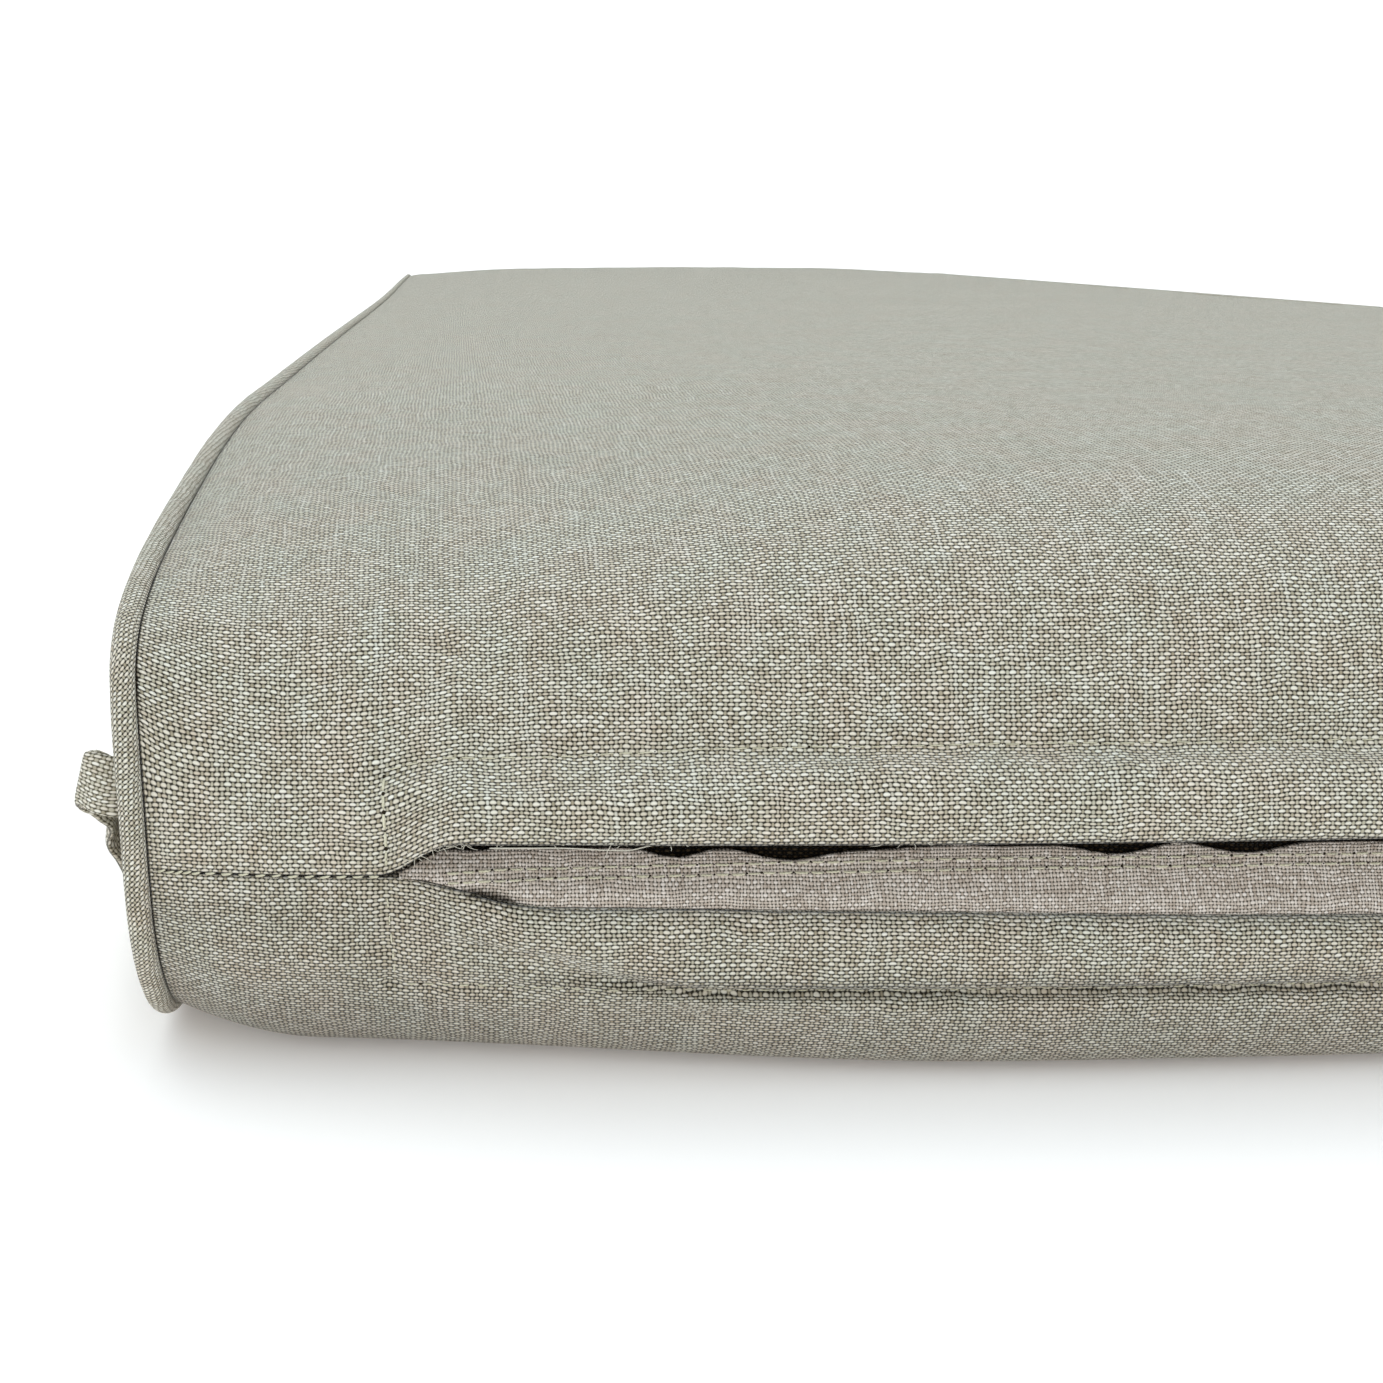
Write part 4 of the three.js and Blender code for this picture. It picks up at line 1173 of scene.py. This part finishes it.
def build_tie(side):
    """A flat folded strip of cloth, sewn in beside the piping."""
    path = np.array(TIE_PATH)
    path = np.concatenate([2 * path[:1] - path[1:2], path, 2 * path[-1:] - path[-2:-1]])
    fine = [spline(*path[k:k + 4, :3], share) for k in range(len(TIE_PATH) - 1)
            for share in np.arange(TIE_STEPS) / TIE_STEPS]
    fine = np.array(fine + [path[-2, :3]])
    at = np.linspace(0, len(TIE_PATH) - 1, len(fine))
    lean = np.radians(np.interp(at, np.arange(len(TIE_PATH)), path[1:-1, 3]))
    out, back, up = fine.T
    centre = joined(side * (HALF_WIDTH - PANEL_INSET + out), back + CLOSURE_NOSE, up)
    along = unit(np.gradient(centre, axis=0))
    upright = joined(side * np.sin(lean), 0, np.cos(lean))
    width = unit(upright - along * (upright * along).sum(axis=1, keepdims=True))
    normal = np.cross(along, width)
    turn = turns(TIE_SIDES)
    flat = squared(np.cos(turn), TIE_POWERS[0]) * TIE_WIDTH / 2
    thick = squared(np.sin(turn), TIE_POWERS[1]) * TIE_THICKNESS / 2
    fold, reach, narrowed = TIE_FOLD
    width = width * (1 - narrowed * hill(at, fold, reach))[:, None]
    points = centre[:, None] + width[:, None] * flat[:-1, None] + normal[:, None] * thick[:-1, None]
    length = travelled(centre)
    shape = Shape()
    shape.strand(points, joined(length[:, None], flat + (thick < 0) * TIE_BACK, 0))
    node = f"tie_{SIDES[side]}"
    piece = shape.piece(node + "_cloth", tie_cloth, "tie_cloth", [node])


# Sewing: how each row is sewn, where it differs from the plain values in sew
THREAD_RADIUS = 0.2
THREAD_LIFT = 0.1
THREAD_SIDES = 8
THREAD_DIP = 3.4                # how many times its lift a stitch's ends go down
THREAD_TAPER = 0.4              # how much thinner they get
STITCH_POINTS = 9
STITCH_SEED = 17
FIRST_STITCH = 0.3              # where a row starts, as a share of a stitch
# How much each stitch may differ from the plain one
SPREADS = {
    "length": (0.92, 1.08),
    "slant": (0.6, 1.3),
    "lean": (-0.12, 0.12),
    "shift": (-0.08, 0.08),
    "shown": (0.92, 1.0),
    "thread": (0.85, 1.1),
    "hole": (0.5, 1.35),
}
HOLE_RADIUS = 0.24
HOLE_SIDES = 8
HOLE_LEVELS = ((1.0, -0.25), (0.8, 0.02), (0.35, 0.05))     # share of its radius, and height
SEWING = {
    "top": {"radius": 0.11, "open_holes": 0.3},
    "upper side": {"radius": 0.25, "hole": 0.36},
    "lower side": {"radius": 0.13, "open_holes": 0.4, "shown": 0.6},
    "bottom": {"radius": 0.12, "open_holes": 0.3, "shown": 0.6},
    "corner seam": {"slant": 0.45, "length": 1.5, "shown": 0.98, "open_holes": 0},
    "end seam": {"slant": 0.25, "length": 2.7, "shown": 0.62, "open_holes": 0.2},
    "tape": {"length": 2.6},
}
UPPER_SIDE_TO = 39.0
LOWER_SIDE_FROM = 36.0
LOWER_SIDE_LEAN = 0.05
SEAM_THREAD_SINK = 0.15         # how deep the end seam's stitches lie in its groove
SEAM_SINK_RUN = (6, 12)         # where they sink in
SEAM_THREAD_RISE = 0.1
SEAM_STITCHES = (5.2, 44.0, 0.8)
CORNER_SEAM_POINTS = 11


def sew(threads, holes, line, normals, chance, slant=0.0, length=STITCH, shown=0.86, open_holes=1.0,
        radius=THREAD_RADIUS, hole=HOLE_RADIUS):
    """Adds one row of stitches along a line of points on the cloth, and their needle holes.
    shown is the share of each stitch that lies on the face, open_holes that of the holes."""
    reach = travelled(line)
    shares = np.linspace(0, 1, STITCH_POINTS)
    sink = (2 * shares - 1) ** 4

    def on(distance, values):
        return columns_at(distance, reach, values)

    def spread(kind):
        return chance.uniform(*SPREADS[kind])

    at = FIRST_STITCH * length
    while at + length < reach[-1]:
        actual = length * spread("length")
        out = unit(on(at + actual / 2, normals))
        sideways = unit(np.cross(out, on(at + actual, line) - on(at, line)))
        lean = slant * spread("slant") + spread("lean")
        shift = spread("shift")
        margin = (1 - shown * spread("shown")) / 2
        centres = np.array([on(at + actual * mix(margin, 1 - margin, share), line) for share in shares])
        centres += out * (THREAD_LIFT * (1 - THREAD_DIP * sink))[:, None]
        centres += sideways * (lean * (shares - 0.5) + shift)[:, None]
        radii = radius * (1 - THREAD_TAPER * sink) * spread("thread")
        threads.tube(centres, radii, THREAD_SIDES)
        if chance.random() < open_holes:
            place = on(at, line) + sideways * shift
            add_hole(holes, place, unit(on(at, normals)), hole * spread("hole"))
        at += actual


def add_hole(holes, place, out, radius):
    """A needle hole: a small disc, domed a little, on the cloth, dark with the painted shade inside the
    hole.
    """
    reference = np.array([1.0, 0.0, 0.0]) if abs(out[0]) < 0.7 else np.array([0.0, 0.0, 1.0])
    a = unit(np.cross(out, reference))
    b = np.cross(out, a)
    turn = turns(HOLE_SIDES)[:-1, None]
    ring = a * np.cos(turn) + b * np.sin(turn)
    rings = np.array([place + ring * radius * wide + out * lift for wide, lift in HOLE_LEVELS])
    holes.strand(rings, np.zeros((len(rings), HOLE_SIDES + 1, 3)))


def seam_place(cover, inward, side):
    """A place in the closed end seam's groove, half way between the cloth above and below."""
    above, below = (cover.at_row(inward, side, name, 1) for name in ("lip", "band edge"))
    middle = (above + below) / 2
    middle[1] = min(above[1], below[1]) + SEAM_THREAD_SINK * smooth(*SEAM_SINK_RUN, inward)
    middle[2] += SEAM_THREAD_RISE
    return middle


def build_stitches(cover, tape):
    """All the sewing that shows: the topstitched box round the slit, the closed end seams and
    the tape's two rows."""
    normals = cover.normals()
    chance = random.Random(STITCH_SEED)
    threads, holes = Shape(), Shape()

    def sew_front(kind, side, path, below=False):
        """Sews through (distance in, height) places on the closure end's front."""
        line, out = (np.array([cover.at_height(values, d, side, z, below) for d, z in path])
                     for values in (cover.points, normals))
        sew(threads, holes, line, unit(out), chance, **SEWING[kind])

    def sew_facing(kind, line):
        """Sews through points on cloth that faces forward."""
        out = np.tile([0.0, -1.0, 0.0], (len(line), 1))
        sew(threads, holes, line, out, chance, **SEWING[kind])

    for side in SIDES:
        across = np.arange(TOP_STITCHES[0][0], HALF_WIDTH, 1.0)
        sew_front("top", side, [(d, table_value(d, TOP_STITCHES)) for d in across])
        down = np.arange(TOP_STITCHES[0][1], UPPER_SIDE_TO, -1.0)
        sew_front("upper side", side, [(SIDE_STITCH_INSET, z) for z in down])
        down = np.arange(LOWER_SIDE_FROM, BOTTOM_STITCH_HEIGHT, -1.0)
        leaning = [(SIDE_STITCH_INSET + (LOWER_SIDE_FROM - z) * LOWER_SIDE_LEAN, z) for z in down]
        sew_front("lower side", side, leaning, below=True)
        across = np.arange(SIDE_STITCH_INSET + 1, HALF_WIDTH, 1.0)
        sew_front("bottom", side, [(d, BOTTOM_STITCH_HEIGHT) for d in across], below=True)
        seam = np.array([seam_place(cover, d, side) for d in np.arange(*SEAM_STITCHES)])
        sew_facing("corner seam", seam[:CORNER_SEAM_POINTS])
        sew_facing("end seam", seam[CORNER_SEAM_POINTS - 2:])
    for gap in (0.0, TAPE_ROW_GAP):
        line = []
        for section in tape:
            inward = HALF_WIDTH - abs(section[0, 0])
            z = table_value(inward, TAPE_STITCHES) - gap
            if inward > TAPE_STITCHES[0][0]:
                line.append([section[0, 0], np.interp(z, section[:, 2], section[:, 1]), z])
        sew_facing("tape", np.array(line))
    threads.piece("stitches", thread_material())
    holes.piece("needle_holes", hole_material())


# Loose fibres: how many start where along the lip, as (count, way of drawing, its two numbers)
EVENLY, CLOSELY = random.Random.uniform, random.Random.gauss
FIBRE_STARTS = ((34, EVENLY, 45.5, 57), (5, CLOSELY, 83, 2.5), (4, CLOSELY, 126, 1.5),
                (22, EVENLY, 57, 290))
FIBRE_RADIUS = 0.07
FIBRE_SIDES = 5
FIBRE_POINTS = 6
FIBRE_SEED = 5
STRAND = (60, 86, 27)           # the long loose yarn along the lip: from, to and points
STRAND_RADIUS = 0.1
STRAND_SIDES = 6
STRAND_START = (-0.3, -0.35)    # (y, z) of its start from the lip
STRAND_LEAN = 0.02              # how much it nears the lip along its way
STRAND_SAGS = ((-0.5, 70, 82), (1.0, 81.5, 87))     # how it goes down and up: (height, from, to)


def build_fibres(cover):
    """Loose ends of yarn along the lip of the slit, thickest where it starts."""
    chance = random.Random(FIBRE_SEED)
    fibres = Shape()
    shares = np.linspace(0, 1, FIBRE_POINTS)[:, None]
    for side in SIDES:
        starts = [draw(chance, a, b) for count, draw, a, b in FIBRE_STARTS for _ in range(count)]
        for inward in starts:
            root = cover.at_row(inward, side, "lip", 1)
            root = root + np.array([0, chance.uniform(-0.2, 0.5), chance.uniform(-0.1, 0.5)])
            reach = chance.uniform(0.7, 2.2)
            way = [chance.gauss(0, 1.0), chance.gauss(-0.35, 0.3), chance.gauss(-0.45, 0.25)]
            curl = np.array([chance.gauss(0, 0.4), 0.25, chance.gauss(0.2, 0.3)]) * reach
            fibres.tube(root + unit(np.array(way)) * reach * shares + curl * shares ** 2,
                        FIBRE_RADIUS * (1 - 0.5 * shares[:, 0]), FIBRE_SIDES)
    inward = np.linspace(*STRAND)
    strand = np.array([cover.at_row(d, -1, "lip", 1) for d in inward])
    y, z = STRAND_START
    for height, start, stop in STRAND_SAGS:
        z = z + height * smooth(start, stop, inward)
    strand += joined(0, y + STRAND_LEAN * (inward - STRAND[0]), z)
    fibres.tube(strand, STRAND_RADIUS + 0 * inward, STRAND_SIDES)
    fibres.piece("loose_fibres", fibre_material())


cover = Cover()
build_cover(cover)
build_fibres(cover)
side_line = cover.points[0, :, 1:]
for side in SIDES:
    build_piping(side, side_line)
    build_side_panel(side, side_line)
    build_tie(side)
build_stitches(cover, build_tape(cover))


# Camera at the photo's angle: its place is measured from the closure end's corner nose
CAMERA_X = -242.9
CAMERA_BEFORE_NOSE = 267.1
CAMERA_HEIGHT = 138.9
CAMERA_PITCH = 15.0         # degrees below level
CAMERA_YAW = 5.0            # degrees to the right
CAMERA_SHIFT = 0.058
FRAME_PIXELS = 1383
FOCAL_PIXELS = 1700
SENSOR = 36.0

FLOOR_REACH = 20.0          # in metres
FLOOR_DROP = 0.4            # below the cushion, so that the two faces don't flicker
FLOOR_COLOUR = (0.92, 0.885, 0.86, 1.0)
FLOOR_GLOW = (1.0, 0.97, 0.95, 1.0)
# The surround's colours, as (place between level and straight up, colour)
SURROUND = ((0.0, (1.01, 0.96, 0.925, 1.0)), (0.9, (0.95, 1.09, 1.18, 1.0)))
SURROUND_STRENGTH = 1.12


def make_camera():
    data = bpy.data.cameras.new("camera")
    data.sensor_width = SENSOR
    data.lens = SENSOR * FOCAL_PIXELS / FRAME_PIXELS
    data.shift_x = CAMERA_SHIFT
    data.clip_start = 0.01
    camera = add_object("camera", data)
    camera.location = (CAMERA_X * MM, (CLOSURE_NOSE - CAMERA_BEFORE_NOSE) * MM, CAMERA_HEIGHT * MM)
    camera.rotation_euler = (math.radians(90 - CAMERA_PITCH), 0, math.radians(-CAMERA_YAW))
    scene.camera = camera


def make_stage():
    """A pale floor under a white surround, cooler from above and warmer from low down."""
    mesh = bpy.data.meshes.new("floor")
    corners = [(-1, -1), (1, -1), (1, 1), (-1, 1)]
    mesh.from_pydata([(FLOOR_REACH * x, FLOOR_REACH * y, -FLOOR_DROP * MM) for x, y in corners],
                     [], [(0, 1, 2, 3)])
    mesh.materials.append(Nodes("floor").surface({
        "Base Color": FLOOR_COLOUR, "Roughness": 0.9,
        "Emission Color": FLOOR_GLOW, "Emission Strength": 0.15,
    }))
    add_object("floor", mesh)
    world = bpy.data.worlds.new("surround")
    world.use_nodes = True
    tree = world.node_tree
    direction = tree.nodes.new("ShaderNodeTexCoord")
    split = tree.nodes.new("ShaderNodeSeparateXYZ")
    ramp = tree.nodes.new("ShaderNodeValToRGB")
    for element, (place, colour) in zip(ramp.color_ramp.elements, SURROUND):
        element.position = place
        element.color = colour
    background = tree.nodes["Background"]
    tree.links.new(direction.outputs["Generated"], split.inputs[0])
    tree.links.new(split.outputs["Z"], ramp.inputs["Fac"])
    tree.links.new(ramp.outputs["Color"], background.inputs["Color"])
    background.inputs["Strength"].default_value = SURROUND_STRENGTH
    scene.world = world


def make_softbox(place, target, size, power, colour):
    data = bpy.data.lights.new("top_softbox", "AREA")
    data.shape = "RECTANGLE"
    data.size, data.size_y = size
    data.energy = power
    data.color = colour
    light = add_object("top_softbox", data)
    light.location = place
    light.rotation_euler = (Vector(target) - Vector(place)).to_track_quat("-Z", "Y").to_euler()


make_camera()
make_stage()
make_softbox(place=(-0.4, -0.35, 2.0), target=(-0.1, -0.6, 0), size=(1.6, 1.6), power=8.5,
             colour=(0.97, 1.0, 0.99))
scene.view_settings.view_transform = "Standard"
